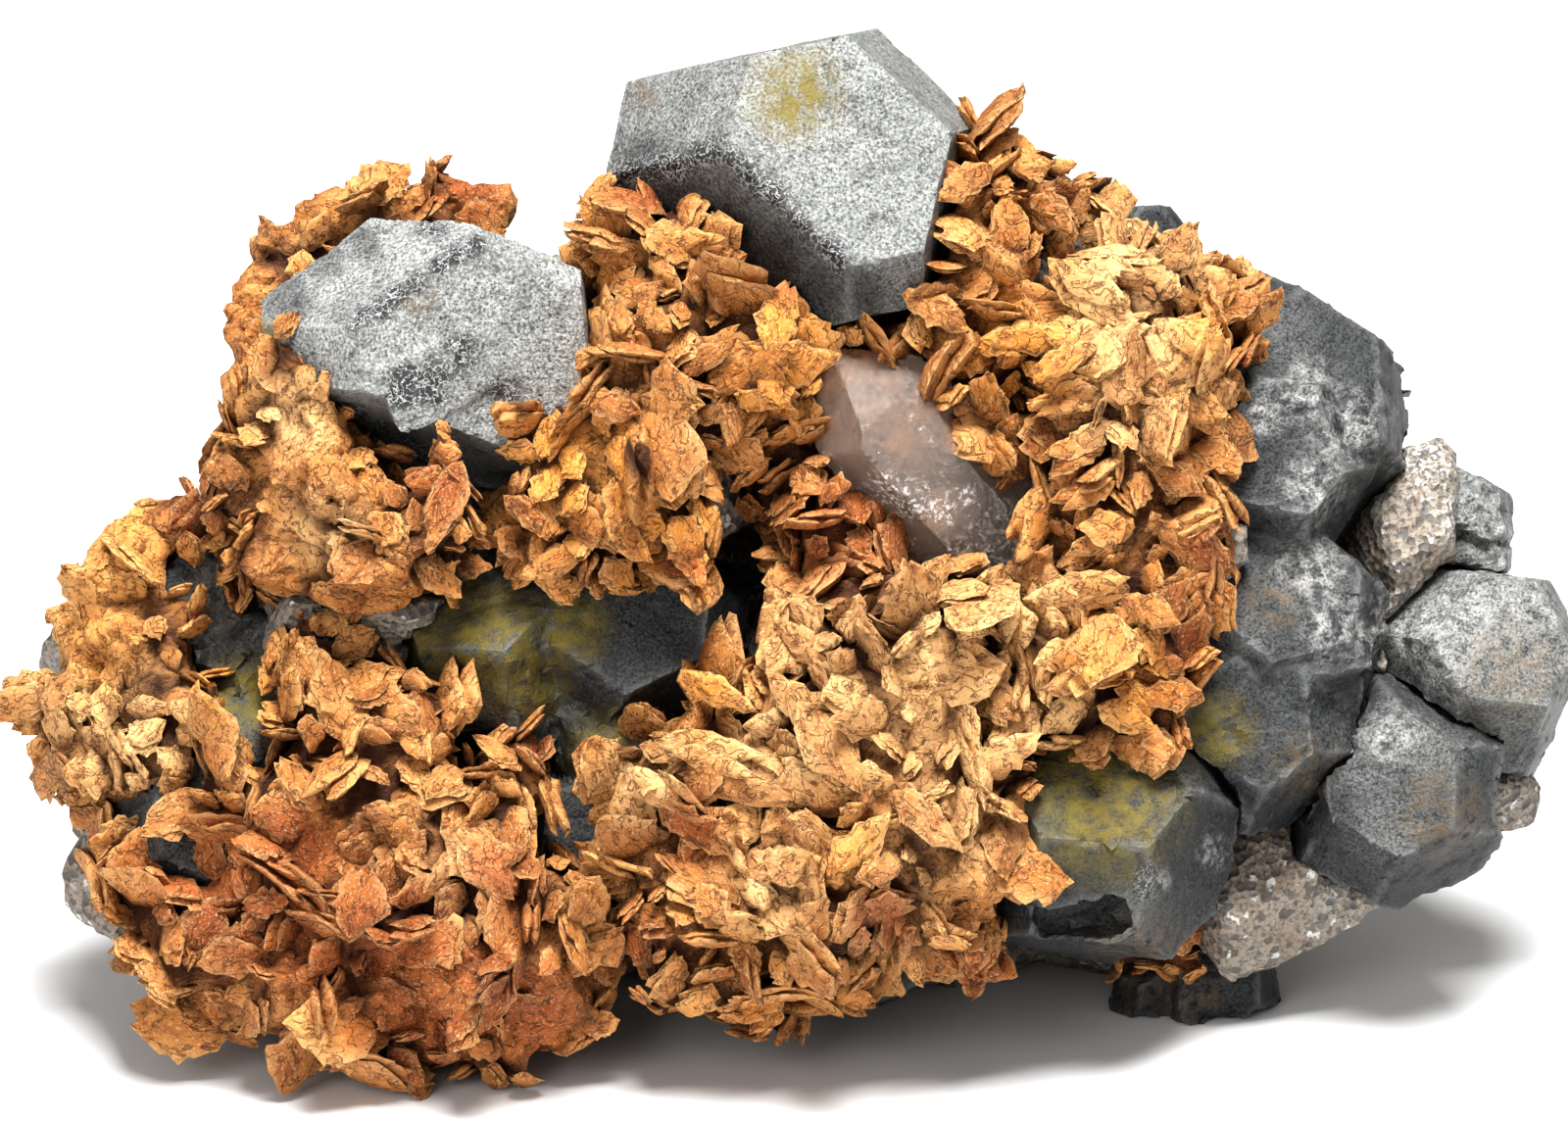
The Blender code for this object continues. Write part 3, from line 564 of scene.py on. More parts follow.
SLAB_SPOTS = [
    (320, 400, 45), (320, 480, 60), (300, 560, 50), (400, 600, 40), (120, 560, 50), (90, 660, 50),
    (330, 850, 40), (430, 1010, 60), (560, 1040, 50), (300, 1000, 50), (250, 250, 30), (250, 330, 25),
    (950, 690, 40), (990, 900, 50), (300, 225, 26), (350, 205, 26), (415, 195, 26), (470, 190, 26),
    (515, 200, 22), (260, 290, 26), (248, 340, 26), (240, 400, 26),
]

# Blades seen one by one: root and tip in pixels, width in pixels, lean toward the eye and roll in degrees
CHOSEN_BLADES = [
    (632, 264, 600, 195, 32, 10, 15), (642, 260, 622, 190, 30, 14, -15), (674, 252, 738, 236, 30, 8, 10),
    (622, 256, 588, 244, 20, 5, 0), (634, 182, 690, 190, 18, 12, 30), (664, 264, 698, 294, 30, 15, 10),
    (640, 316, 678, 292, 28, 20, -20), (741, 322, 740, 280, 26, 20, 20), (784, 312, 786, 282, 34, 10, -10),
    (806, 304, 802, 272, 24, 15, 20), (694, 384, 754, 332, 32, 12, -10), (724, 392, 852, 344, 64, 6, 10),
    (772, 376, 804, 420, 44, 12, 0), (644, 402, 718, 414, 40, 14, 10), (596, 408, 652, 424, 38, 10, -10),
    (584, 358, 632, 400, 44, 8, 10), (702, 430, 750, 414, 18, 20, 0), (790, 632, 836, 680, 34, 10, 10),
    (866, 658, 872, 606, 38, 14, 0), (802, 700, 880, 780, 54, 8, -10), (668, 756, 778, 784, 34, 10, 10),
    (696, 790, 850, 824, 42, 8, 10), (640, 784, 708, 820, 32, 12, 0), (668, 820, 738, 866, 40, 12, 10),
    (898, 796, 966, 856, 38, 12, -10), (843, 898, 900, 840, 44, 16, 10), (786, 896, 840, 862, 52, 8, -10),
    (984, 794, 1048, 760, 38, 14, 10), (1076, 670, 1124, 692, 36, 10, 10), (1044, 612, 1142, 598, 42, 8, 10),
    (694, 684, 760, 720, 30, 16, 10), (1070, 262, 1155, 322, 46, 8, -10), (1000, 346, 1102, 334, 34, 10, 10),
    (1006, 300, 1080, 310, 30, 16, 0), (1120, 352, 1056, 388, 30, 18, 10), (1126, 398, 1060, 432, 30, 18, 10),
    (1130, 446, 1066, 476, 30, 18, 10), (1136, 492, 1074, 520, 30, 18, 10),
    (1144, 540, 1084, 560, 28, 18, 10), (1180, 330, 1242, 360, 40, 10, 0), (1190, 400, 1250, 436, 38, 12, 10),
    (1170, 470, 1232, 500, 40, 10, -10), (1000, 120, 940, 160, 36, 12, 10), (1010, 170, 958, 210, 36, 14, 0),
    (1040, 190, 1100, 232, 36, 12, 10), (980, 240, 930, 280, 32, 14, 10), (920, 300, 980, 330, 36, 12, -10),
    (870, 330, 930, 312, 28, 12, 10), (470, 470, 440, 560, 44, 14, 20), (420, 560, 470, 610, 38, 12, 10),
    (530, 590, 610, 560, 34, 12, 0), (560, 540, 520, 500, 34, 14, 10), (600, 520, 660, 560, 36, 12, -10),
    (690, 540, 712, 606, 34, 14, 10), (560, 860, 620, 800, 38, 14, 10), (480, 880, 540, 860, 34, 14, 0),
    (400, 900, 440, 850, 34, 14, 10), (330, 830, 280, 780, 36, 12, 10), (560, 1000, 640, 950, 34, 12, 10),
    (140, 760, 90, 740, 34, 12, 0), (170, 720, 230, 740, 30, 14, 10), (1010, 930, 1000, 1000, 38, 12, 10),
    (960, 960, 900, 1000, 36, 12, 0), (800, 1010, 760, 1050, 34, 12, 10), (1120, 720, 1180, 740, 36, 10, 10),
    (1140, 610, 1200, 640, 36, 12, 0),
]

# Node of each crust, distance between its blades and their usual length, in millimetres
CRUSTS = [
    ("siderite_left_rim", 1.5, 2.4),
    ("siderite_far_left", 1.75, 2.9),
    ("siderite_lower_left", 1.75, 3.6),
    ("siderite_column", 1.75, 3.6),
    ("siderite_right", 1.75, 3.6),
    ("siderite_lower_middle", 1.75, 3.6),
    ("siderite_lower_right", 1.6, 2.6),
    ("siderite_back_left", 2.3, 3.6),
    ("siderite_back_right", 2.3, 3.6),
]

# How blades grow: angles in degrees, widths and depths as shares of a blade's length
TRIES_PER_BLADE = 8
BLADE_CLEARANCE = 1.2 * MM
SLAB_LOSS = 0.85
SHEAF_SIZE = 7.0 * MM
SHEAF_TURNS = 1.6
TURN_SPREAD = 0.45
USUAL_TILT = 22.0
TILT_SPREAD = 14.0
LEAST_TILT = -4.0
MOST_TILT = 65.0
ROLL_SPREAD = 0.5
LENGTH_SPREAD = 0.36
LEAST_LENGTH = 0.45
MOST_LENGTH = 2.0
BLADE_WIDTHS = (0.55, 0.92)
BLADE_DEPTHS = (0.14, 0.24)
SUNK_LENGTH = 0.45
CHOSEN_DEPTH = 0.35  # of a chosen blade's width
CHOSEN_RISE = 0.9  # in millimetres

# The plates that a blade is made of, with what changes from one to the next
PLATES_PER_BLADE = 2
PLATE_STATIONS = 9
PLATE_COLUMNS = 6
PLATE_SHARES = (0.74, 1.04)
PLATE_TURNS = (-0.16, 0.16)
PLATE_SLIDES = (-0.04, 0.22)
RAGGED_RIM = (-0.32, 0.12)
BOWS = (-0.5, 0.5)
TWISTS = (-0.5, 0.5)
UNEVEN_LENGTH = (-0.03, 0.03)

# How crusts and plates crinkle
PLATE_APART = np.array([7.3, 5.1, 3.7])  # keeps the crinkles of one plate from those of the next
FLAKE_STRETCH = np.array([0.85, 1.0, 1.3])
FULL_CRINKLE_DEPTH = 0.7 * MM
GROUND_SINK = 0.6 * MM
GROUND_RELIEF = 0.42  # in millimetres
GROUND_SIZE = 3.4 * MM


def unit_rows(vectors):
    return vectors / np.linalg.norm(vectors, axis=1)[:, None]


def sight(x, y):
    """The direction in which this pixel of the photograph is seen."""
    way = Vector(((x - PHOTO_WIDTH / 2) * PIXEL, (PHOTO_HEIGHT / 2 - y) * PIXEL, -VIEW_DISTANCE))
    return (CAMERA_PLACE.to_3x3() @ way).normalized()


def surface_samples(mesh, spacing, dice, covers):
    """Points at least this far apart on a mesh, with the way out, where no neighbour covers it."""
    corners = points_of(mesh)[triangles_of(mesh)]
    normals = np.cross(corners[:, 1] - corners[:, 0], corners[:, 2] - corners[:, 0])
    areas = np.linalg.norm(normals, axis=1)
    count = int(areas.sum() / 2 / spacing ** 2 * TRIES_PER_BLADE)
    chosen = dice.choice(len(corners), count, p=areas / areas.sum())
    shares = dice.dirichlet((1.0, 1.0, 1.0), count)
    places = (corners[chosen] * shares[:, :, None]).sum(axis=1)
    outward = normals[chosen] / areas[chosen][:, None]
    cells = {}
    kept = []
    for k, cell in enumerate(map(tuple, np.floor(places / spacing).astype(int))):
        around = product(*[(value - 1, value, value + 1) for value in cell])
        rivals = [other for near in around for other in cells.get(near, ())]
        if any(np.linalg.norm(places[k] - places[other]) < spacing for other in rivals):
            continue
        start = Vector(places[k] + outward[k] * 0.05 * MM)
        if covers.ray_cast(start, Vector(outward[k]), BLADE_CLEARANCE)[0] is None:
            cells.setdefault(cell, []).append(k)
            kept.append(k)
    return places[kept], outward[kept]


def grown_blades(mesh, covers, spacing, size, dice, seed):
    """Blades that lie over one another on a crust, in sheaves that point the same way.

    Gives their roots, the ways along and through them, and their lengths, widths and depths.
    """
    places, outward = surface_samples(mesh, spacing, dice, covers)
    wanted = dice.uniform(0.0, 1.0, len(places)) > SLAB_LOSS * spots(places, SLAB_SPOTS)
    places, outward = places[wanted], outward[wanted]
    count = len(places)
    sheaf = noise(places, SHEAF_SIZE, seed + 70)
    turn = sheaf * math.pi * SHEAF_TURNS + dice.normal(0.0, TURN_SPREAD, count)
    first = unit_rows(np.cross(outward, np.array([0.31, 0.17, 0.93])))
    second = np.cross(outward, first)
    tangent = first * np.cos(turn)[:, None] + second * np.sin(turn)[:, None]
    tilt = np.clip(dice.normal(USUAL_TILT, TILT_SPREAD, count), LEAST_TILT, MOST_TILT)
    tilt = np.radians(tilt)[:, None]
    along = unit_rows(tangent * np.cos(tilt) + outward * np.sin(tilt))
    helper = unit_rows(np.cross(outward, along))
    through = unit_rows(outward + helper * dice.normal(0.0, ROLL_SPREAD, (count, 1)))
    share = np.clip(np.exp(dice.normal(0.0, LENGTH_SPREAD, count)), LEAST_LENGTH, MOST_LENGTH)
    length = size * share
    width = length * dice.uniform(*BLADE_WIDTHS, count)
    depth = length * dice.uniform(*BLADE_DEPTHS, count)
    roots = places - along * (length * SUNK_LENGTH)[:, None]
    return roots, along, through, np.column_stack([length, width, depth])


def chosen_blades(node, trees):
    """The blades seen one by one in the photograph whose middle lies on this crust."""
    eye = CAMERA_PLACE.translation
    turn = CAMERA_PLACE.to_3x3()
    rows = []
    for x, y, tip_x, tip_y, width, lean, roll in CHOSEN_BLADES:
        way = sight((x + tip_x) / 2, (y + tip_y) / 2)
        hits = {name: tree.ray_cast(eye, way) for name, tree in trees.items()}
        hits = {name: hit for name, hit in hits.items() if hit[0] is not None}
        if not hits or min(hits, key=lambda name: hits[name][3]) != node:
            continue
        middle = hits[node][0] - way * CHOSEN_RISE * MM
        flat = turn @ Vector((tip_x - x, y - tip_y, 0.0))
        length = flat.length * PIXEL / math.cos(math.radians(lean))
        along = flat.normalized() * math.cos(math.radians(lean)) - way * math.sin(math.radians(lean))
        side = along.cross(-way).normalized()
        through = -way * math.cos(math.radians(roll)) + side * math.sin(math.radians(roll))
        size = (length, width * PIXEL, width * PIXEL * CHOSEN_DEPTH)
        rows.append((middle - along * length / 2, along, through, size))
    if not rows:
        return [np.zeros((0, 3))] * 4
    return [np.array([row[k][:] for row in rows]) for k in range(4)]


def stacked(roots, along, through, sizes, dice):
    """Each blade as a book of plates, which step back and turn a little from one to the next.

    Gives the plates' roots, three directions and sizes, and which blade each belongs to.
    """
    across = unit_rows(np.cross(through, along))
    through = np.cross(along, across)
    length, width, depth = sizes.T
    count = len(roots)
    books = []
    for k in range(PLATES_PER_BLADE):
        off = k - (PLATES_PER_BLADE - 1) / 2
        share = dice.uniform(*PLATE_SHARES, count) if k else np.ones(count)
        way = unit_rows(along + across * dice.uniform(*PLATE_TURNS, (count, 1)))
        slide = dice.uniform(*PLATE_SLIDES, count) * length * k
        start = roots + through * (off * depth * 0.5)[:, None] + way * slide[:, None]
        side = unit_rows(np.cross(through, way))
        size = np.column_stack([length * share, width * share, depth * 0.62])
        books.append((start, way, side, through, size, np.arange(count)))
    return [np.concatenate([book[k] for book in books]) for k in range(6)]


def plate_ring():
    """A plate cut across its length: how far across, and how far through, from one rim round to itself."""
    across = np.linspace(-1.0, 1.0, PLATE_COLUMNS + 1)
    height = (1.0 - np.abs(across) ** 2.5) ** 0.7
    under = slice(PLATE_COLUMNS - 1, 0, -1)
    return np.vstack([np.column_stack([across, height]), np.column_stack([across[under], -height[under]])])


def plate_faces(count, ring):
    """The triangles of this many plates, whose points are rings of this many and then a root and a tip."""
    faces = []
    last = PLATE_STATIONS * ring
    for k in range(ring):
        after = (k + 1) % ring
        for row in range(PLATE_STATIONS - 1):
            low = row * ring
            high = low + ring
            faces.append((low + k, high + k, high + after))
            faces.append((low + k, high + after, low + after))
        faces.append((last, k, after))
        faces.append((last + 1, last - ring + after, last - ring + k))
    starts = np.arange(count)[:, None, None] * (last + 2)
    return (np.array(faces) + starts).reshape(-1, 3)


def plate_shells(roots, along, across, through, sizes, dice):
    """Thin closed plates with ragged rims. Each has a root, three directions and a length, width and depth.

    Gives their points and triangles, and how near each point is to a rim.
    """
    count = len(roots)
    section = plate_ring()
    ring = len(section)
    places = np.linspace(0.0, 1.0, PLATE_STATIONS + 2)[1:-1]
    widths = np.sin(math.pi * places ** 0.85) ** 0.95
    length, width, depth = sizes.T
    ragged = 1.0 + dice.uniform(*RAGGED_RIM, (count, PLATE_STATIONS, 2))
    sides = np.where(section[:, 0] < 0, ragged[:, :, :1], ragged[:, :, 1:])
    reach_across = widths[None, :, None] * sides * section[:, 0] * width[:, None, None] / 2
    reach_through = np.minimum(1.0, 1.8 * widths)[None, :, None] * section[:, 1] * depth[:, None, None] / 2
    bow = (places - 0.5) ** 2 * dice.uniform(*BOWS, (count, 1)) * length[:, None]
    twist = (places - 0.5) * dice.uniform(*TWISTS, (count, 1))
    reach_through = reach_through + bow[:, :, None] + twist[:, :, None] * reach_across
    reach_along = places[None, :, None] * length[:, None, None] * np.ones(ring)
    reach_along = reach_along + dice.uniform(*UNEVEN_LENGTH, reach_along.shape) * length[:, None, None]
    rings = (
        roots[:, None, None]
        + along[:, None, None] * reach_along[..., None]
        + across[:, None, None] * reach_across[..., None]
        + through[:, None, None] * reach_through[..., None]
    )
    tips = np.stack([roots, roots + along * length[:, None]], axis=1)
    points = np.concatenate([rings.reshape(count, -1, 3), tips], axis=1)
    rim = np.tile(np.abs(section[:, 0]), PLATE_STATIONS)
    rim = np.tile(np.concatenate([rim, [1.0, 1.0]]), count)
    return points.reshape(-1, 3), plate_faces(count, ring), rim


def crinkled(local, seed):
    """Heights of fine folds and narrow creases, in metres."""
    fold = np.abs(noise(local, 1.3 * MM, seed))
    crease = np.exp(-(noise(local, 1.9 * MM, seed + 3) / 0.14) ** 2)
    return (layered(local, 0.9 * MM, seed + 5, 3) * 0.07 + fold * 0.16 - crease * 0.16) * MM


def depth_below(node, points):
    """How far each point lies under its crust: 0 well above the crust's surface and 1 well below it, for the
    painted shade of the crust's recesses.
    """
    tree = tree_of([node])
    heights = []
    for point in points:
        spot, out, _, _ = tree.find_nearest(point)
        heights.append((Vector(point) - spot).dot(out))
    return np.clip((0.5 * MM - np.array(heights)) / (1.5 * MM), 0.0, 1.0)


def siderite_plates(node, trees, spacing, size, seed):
    """The plates of a crust: points, triangles, places along the flakes and named values."""
    dice = np.random.RandomState(seed)
    others = tree_of([name for name in frame["nodes"] if name != node])
    blades = grown_blades(welded(node), others, spacing, size, dice, seed)
    blades = [np.concatenate(pair) for pair in zip(blades, chosen_blades(node, trees))]
    starts, along, across, through, sizes, blade = stacked(*blades, dice)
    points, faces, rim = plate_shells(starts, along, across, through, sizes, dice)
    plate = np.repeat(np.arange(len(starts)), len(points) // len(starts))
    apart = points - starts[plate]
    local = np.column_stack([(apart * way[plate]).sum(axis=1) for way in (along, across, through)])
    local += plate[:, None] * PLATE_APART * MM
    flake = local * FLAKE_STRETCH
    rise = crinkled(flake, seed + 9) * np.clip(sizes[plate, 2] / FULL_CRINKLE_DEPTH, 0.4, 1.0)
    facing = np.sign((apart * through[plate]).sum(axis=1))
    points = points + through[plate] * (rise * facing * (1.0 - 0.5 * rim ** 3))[:, None]
    tones = dice.uniform(0.0, 1.0, len(blades[0]))[blade] * 0.8 + dice.uniform(0.0, 0.2, len(starts))
    # The last value is painted shade, darker the farther a point lies under the crust's surface
    values = {"tone": tones[plate], "rim": rim, "recess_shade": depth_below(node, points)}
    return points, faces, flake, values


def siderite_ground(node, seed):
    """The crinkled ground of a crust, which lies low under the blades and high where it is a slab."""
    ground = remeshed(node, CRUST_STEP)
    points = points_of(ground)
    slab = spots(points, SLAB_SPOTS)
    relief = layered(points, GROUND_SIZE, seed, 4) * GROUND_RELIEF * MM
    relief += crinkled(points, seed + 30) * (1.0 + 1.4 * slab)
    points = points + normals_of(ground) * (relief - GROUND_SINK * (1.0 - slab))[:, None]
    values = {
        "tone": 0.5 + 0.3 * layered(points, 2.0 * MM, seed + 50, 3),
        "rim": np.zeros(len(points)),
        # Painted shade, darker where the ground lies low and less on slabs
        "recess_shade": np.clip(0.75 - 0.7 * slab - relief / (0.9 * MM), 0.0, 1.0),
    }
    return points, triangles_of(ground), values


def siderite_piece(node, material, trees, spacing, size, seed):
    """A crust: crinkled ground, and over it blades that stand out, fan and lie on one another."""
    plates, plate_triangles, flake, plate_values = siderite_plates(node, trees, spacing, size, seed)
    ground, ground_triangles, ground_values = siderite_ground(node, seed)
    points = np.concatenate([ground, plates])
    points[:, 2] = np.maximum(points[:, 2], LOWEST)
    faces = np.concatenate([ground_triangles, plate_triangles + len(ground)])
    values = {name: np.concatenate([ground_values[name], plate_values[name]]) for name in ground_values}
    values["pale"] = spots(points, PALE_SPOTS)
    values["gold"] = spots(points, GOLD_SPOTS)
    values["rust"] = spots(points, RUST_SPOTS)
    piece = make_piece(node + "_crust", node, material, points, faces, values, CRUST_CREASE)
    grain = piece.data.attributes.new("grain", "FLOAT_VECTOR", "POINT")
    places = np.concatenate([ground, flake]) / MM
    grain.data.foreach_set("vector", places.astype(np.float32).ravel())


def siderite_pieces():
    material = siderite_material()
    trees = {node: tree_of([node]) for node, _, _ in CRUSTS}
    for number, (node, spacing, size) in enumerate(CRUSTS):
        siderite_piece(node, material, trees, spacing * MM, size * MM, 100 + number * 50)


# Galena

# Olive dust, brown stains, etched edges, pale scuffs, pits away from the edges, and spots of thinner bloom
# that are partly dark etched faces and partly painted shade
OLIVE_SPOTS = [
    (1125, 815, 70), (1090, 790, 40), (500, 650, 60), (430, 665, 30), (580, 640, 36), (810, 95, 42),
    (270, 350, 20), (1240, 745, 35), (760, 860, 40), (245, 710, 40), (620, 770, 40), (540, 690, 40),
]
BROWN_SPOTS = [
    (1300, 615, 26), (655, 97, 18), (1540, 690, 50), (300, 610, 30), (210, 620, 30), (1470, 830, 40),
    (1330, 780, 30), (430, 310, 20), (1165, 975, 44), (1215, 1005, 30),
]
ETCHED_SPOTS = [
    (640, 185, 22), (680, 170, 26), (720, 160, 24), (755, 175, 24), (785, 200, 24), (815, 235, 24),
    (845, 262, 22), (437, 243, 20), (410, 262, 24), (385, 285, 24), (360, 312, 22), (470, 360, 22),
    (440, 385, 22), (520, 400, 22), (545, 440, 26), (1180, 900, 20),
]
SCUFF_SPOTS = [
    (1330, 580, 44), (1400, 760, 44), (1455, 760, 40), (1270, 640, 30), (1500, 640, 40), (1340, 480, 30),
    (1290, 420, 24), (1420, 840, 40), (1160, 930, 30), (1570, 700, 30), (1300, 350, 40),
]
PITTED_SPOTS = [
    (484, 248, 11), (466, 260, 11), (446, 274, 11), (426, 288, 12), (406, 302, 12), (386, 316, 13),
    (366, 330, 14), (420, 386, 17), (446, 380, 18), (472, 374, 18), (412, 406, 14), (440, 402, 17),
    (360, 428, 14), (380, 446, 16), (402, 464, 18), (430, 478, 20), (458, 480, 18),
]
# Thinner bloom on the lower faces of the top and left crystals, partly dark etched faces and partly painted
# shade
THIN_BLOOM_AND_SHADE_SPOTS = [
    (655, 165, 26), (690, 205, 40), (735, 235, 44), (790, 270, 44), (840, 290, 34), (880, 300, 24),
    (290, 300, 40), (330, 265, 34), (370, 250, 24),
]

# White powder on the galena and the rock of the right side
POWDER_SPOTS = [
    (1335, 580, 30), (1360, 640, 26), (1400, 640, 30), (1450, 480, 26), (1460, 655, 44), (1500, 640, 30),
    (1530, 660, 40), (1420, 750, 26), (1345, 500, 30), (1380, 440, 34), (1560, 620, 30), (1480, 690, 24),
    (1330, 400, 30), (1540, 560, 36), (1500, 520, 30), (1290, 425, 16), (1180, 900, 14), (1240, 870, 14),
]

# How much of the pale bloom each crystal keeps
BLOOM = {
    "galena_top": 0.88, "galena_left": 1.45, "galena_centre": 0.13, "galena_far_left": 0.22,
    "galena_low_right": 0.12, "galena_under_crust": 0.12, "galena_right": 0.09, "galena_right_low": 0.13,
    "galena_far_right": 0.55, "galena_right_edge": 0.45, "galena_back_left": 0.40, "galena_back_right": 0.40,
}
USUAL_BLOOM = 0.2

# A crystal with more bloom than this is sound, and has only this share of the steps and chips
SOUND_BLOOM = 0.8
SOUND_SHARE = 0.25

# Levels between which a crystal's faces step, for each unit of the noise that they follow
STEP_LEVELS = 2.2

# Widths of what runs along an edge of a crystal
ROUNDED_EDGE = 0.3 * MM
WORN_BAND = 0.45 * MM
CHIPPED_BAND = 0.8 * MM
ETCHED_BAND = 1.1 * MM


def galena_relief(node, points, edge, seed):
    """Heights of wear, rounded edges, low steps and chips on a crystal, in metres."""
    wear = layered(points, 0.9 * MM, seed, 3)
    height = wear * 0.035 * MM + layered(points, 5.0 * MM, seed + 5, 2) * 0.10 * MM
    height -= np.exp(-edge / ROUNDED_EDGE) * (0.04 + 0.08 * np.clip(wear, 0.0, 1.0)) * MM
    broken = SOUND_SHARE if BLOOM.get(node, USUAL_BLOOM) > SOUND_BLOOM else 1.0
    steps = np.round(layered(points, 5.0 * MM, seed + 11, 3) * STEP_LEVELS) / STEP_LEVELS
    chips = np.clip(layered(points, 2.6 * MM, seed + 17, 3) * 1.3, 0.0, 1.0) * np.exp(-edge / CHIPPED_BAND)
    return height + broken * (steps * 0.30 - chips * 0.8) * MM


def galena_marks(node, points, normals, edge, seed):
    """The named values of a crystal's points, each from 0 to 1."""
    ragged = 0.6 * layered(points, 1.5 * MM, seed + 8, 3)
    along_edges = np.clip(1.5 - edge / ETCHED_BAND + ragged, 0.0, 1.0)
    island = spots(points, PITTED_SPOTS)
    pitted = np.clip(1.3 * island + ragged, 0.0, 1.0) * (island > 0)
    # Painted light: faces that look up, and a little those that look to the front, get more bloom
    top_and_front_light = np.clip(0.80 + normals[:, 2] * 0.50 - normals[:, 1] * 0.10, 0.0, 1.2)
    # The listed spots thin the bloom, partly dark etched faces and partly painted shade
    bloom = top_and_front_light * BLOOM.get(node, USUAL_BLOOM) * (1.0 - 0.75 * spots(points, THIN_BLOOM_AND_SHADE_SPOTS))
    return {
        "edge": np.clip(1.0 - edge / WORN_BAND, 0.0, 1.0),
        "etched": np.maximum(along_edges * spots(points, ETCHED_SPOTS), pitted),
        "frost_and_top_light": np.clip(bloom + 0.25 * spots(points, SCUFF_SPOTS), 0.0, 1.0),
        "brown": spots(points, BROWN_SPOTS),
        "powder": spots(points, POWDER_SPOTS),
        "olive": spots(points, OLIVE_SPOTS),
    }


def galena_piece(node, material, seed):
    """A crystal or a group of them, with its worn surface and its marks."""
    ground, points, edge = faceted(node, CRYSTAL_STEP)
    normals = normals_of(ground)
    values = galena_marks(node, points, normals, edge, seed)
    moved = points + normals * galena_relief(node, points, edge, seed)[:, None]
    moved[:, 2] = np.maximum(moved[:, 2], LOWEST)
    make_piece(node + "_crystal", node, material, moved, triangles_of(ground), values, CRYSTAL_CREASE)


def galena_pieces():
    """All galena, the left crystal with the palest bloom."""
    looks = {
        "galena_frosted": galena_material("frosted_galena", (0.018, 0.019, 0.021), (0.215, 0.22, 0.21), 0.15),
        "galena_dark": galena_material("dark_galena", (0.012, 0.013, 0.015), (0.11, 0.113, 0.118), 0.5),
    }
    palest = galena_material("pale_galena", (0.02, 0.021, 0.023), (0.29, 0.295, 0.285), 0.1)
    slots = {part["node"]: part["material_slot"] for part in frame["record"]["subparts"]}
    for number, node in enumerate(sorted(frame["nodes"])):
        if slots[node] in looks:
            material = palest if node == "galena_left" else looks[slots[node]]
            galena_piece(node, material, 700 + number * 20)


# Quartz and rock

# Brown haze and white flaws of the quartz
HAZE_SPOTS = [
    (870, 420, 62), (925, 440, 50), (960, 520, 26),
]
WHITE_SPOTS = [
    (843, 466, 6), (858, 482, 6), (875, 500, 6), (892, 516, 6), (910, 533, 6), (930, 552, 6), (950, 572, 6),
    (930, 425, 6), (940, 440, 6), (950, 452, 6), (900, 500, 22), (930, 510, 22), (960, 520, 20),
    (985, 505, 12),
]

# The rock's grains, and the millimetres above the cut over which its relief grows to full height
ROCK_GRAIN = 1.7 * MM
RELIEF_RISE = 0.8


def rock_piece():
    """The rock that carries everything, grained and uneven but flat where it rests."""
    ground = remeshed("matrix_rock", ROCK_STEP)
    points = points_of(ground)
    height = grain_joints(points, ROCK_GRAIN, 3) * 0.45 * MM + layered(points, 5.0 * MM, 31, 4) * 0.5 * MM
    resting = np.clip(points[:, 2] / MM / RELIEF_RISE, 0.0, 1.0)
    moved = points + normals_of(ground) * (height * resting)[:, None]
    values = {"powder": spots(points, POWDER_SPOTS)}
    faces = triangles_of(ground)
    make_piece("matrix_rock_ground", "matrix_rock", rock_material(), moved, faces, values)


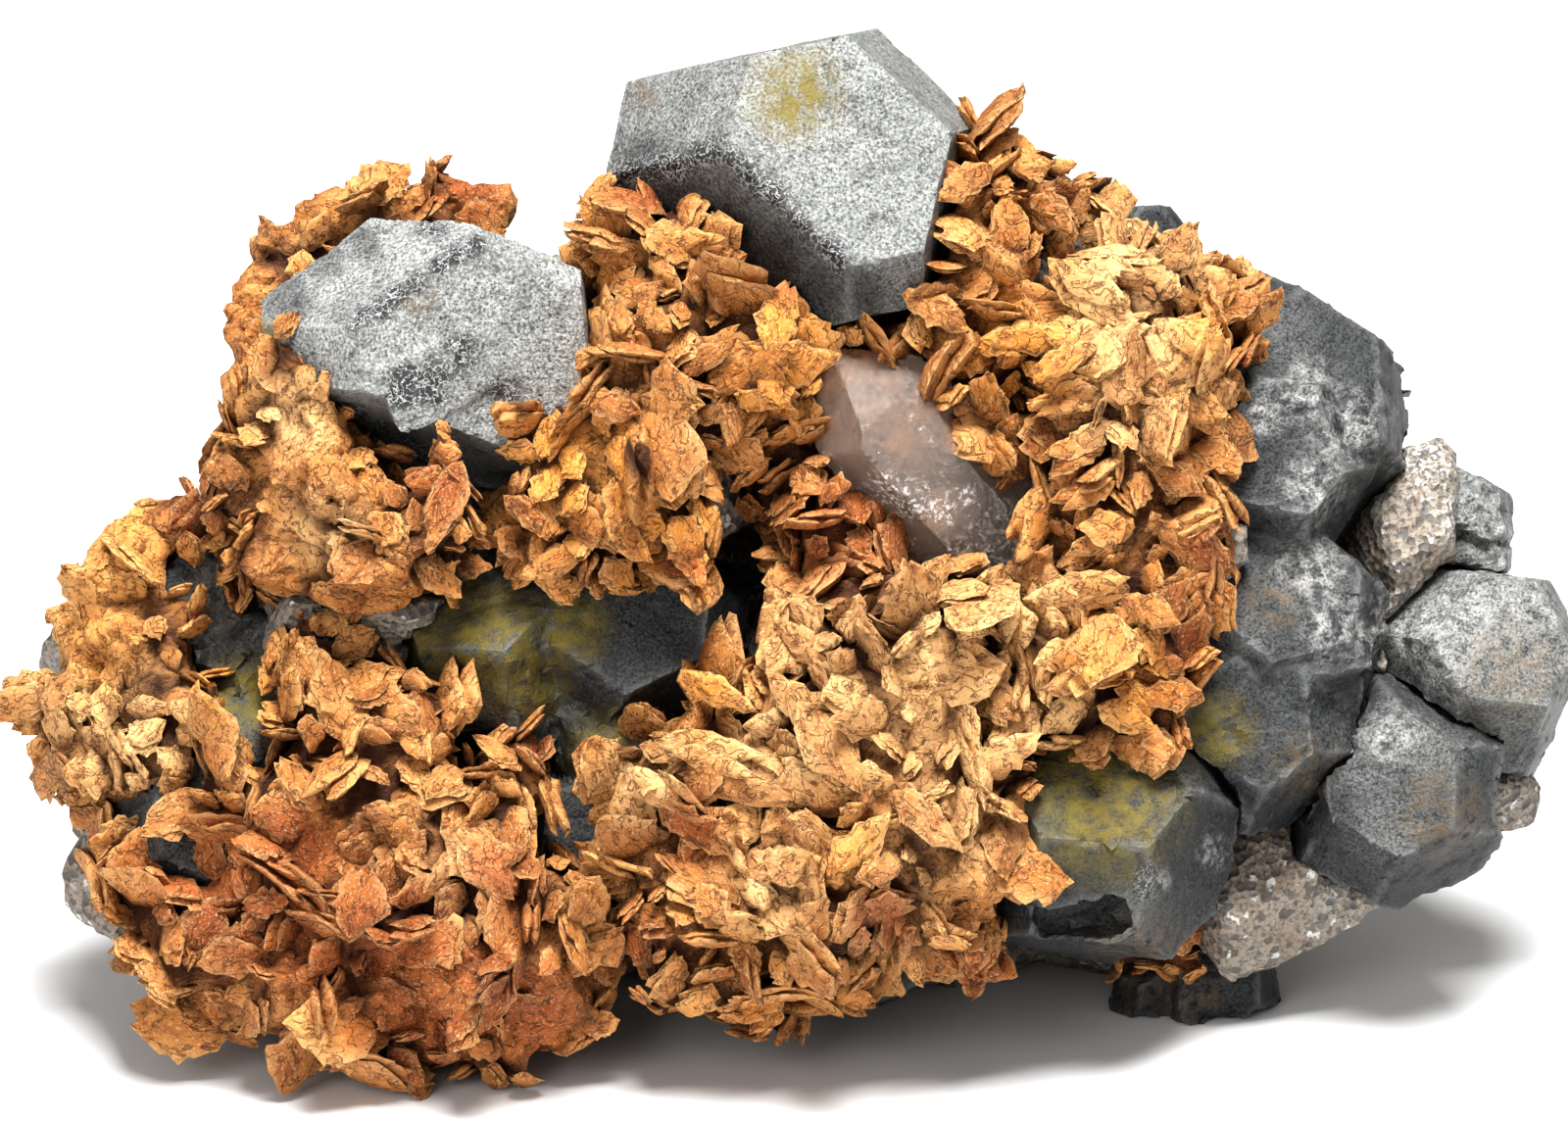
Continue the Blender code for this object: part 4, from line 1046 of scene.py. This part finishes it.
def quartz_pieces():
    material = quartz_material()
    for node in ("quartz_prism", "quartz_upper_right"):
        ground, points, _ = faceted(node, QUARTZ_STEP)
        height = layered(points, 1.4 * MM, 900, 3) * 0.012 * MM
        moved = points + normals_of(ground) * height[:, None]
        faces = triangles_of(ground)
        values = {"haze": spots(points, HAZE_SPOTS), "white": spots(points, WHITE_SPOTS)}
        make_piece(node + "_crystal", node, material, moved, faces, values, CRYSTAL_CREASE)


# Studio

FLOOR_REACH = 3.0
FLOOR_GREY = (0.70, 0.70, 0.70, 1.0)
WHITE = (1.0, 1.0, 1.0)
SKY_STRENGTH = 0.35


def floor():
    """The white ground that the specimen rests on."""
    shape = bmesh.new()
    bmesh.ops.create_grid(shape, x_segments=1, y_segments=1, size=FLOOR_REACH)
    mesh = bpy.data.meshes.new("floor")
    shape.to_mesh(mesh)
    shape.free()
    material, _, shader = new_material("floor_white")
    shader.inputs["Base Color"].default_value = FLOOR_GREY
    shader.inputs["Roughness"].default_value = 0.6
    mesh.materials.append(material)
    ground = bpy.data.objects.new("floor", mesh)
    bpy.context.scene.collection.objects.link(ground)


def lamp(name, place, size, power):
    """A soft square white lamp that points at the specimen."""
    data = bpy.data.lights.new(name, "AREA")
    data.size = size
    data.energy = power
    data.color = WHITE
    light = bpy.data.objects.new(name, data)
    light.location = place
    light.rotation_euler = (FACE_MIDDLE - Vector(place)).to_track_quat("-Z", "Y").to_euler()
    bpy.context.scene.collection.objects.link(light)


def studio():
    """White light from all round, a strong lamp above and a weak one in front."""
    world = bpy.data.worlds.new("studio")
    world.use_nodes = True
    background = world.node_tree.nodes["Background"]
    background.inputs["Color"].default_value = (*WHITE, 1.0)
    background.inputs["Strength"].default_value = SKY_STRENGTH
    bpy.context.scene.world = world
    lamp("overhead", (0.04, -0.16, 0.7), 0.28, 12.5)
    lamp("front", (-0.35, -0.6, 0.35), 0.4, 2.0)
    view = bpy.context.scene.view_settings
    view.view_transform = "Standard"
    view.look = "Medium High Contrast"


camera()
galena_pieces()
rock_piece()
quartz_pieces()
siderite_pieces()
floor()
studio()
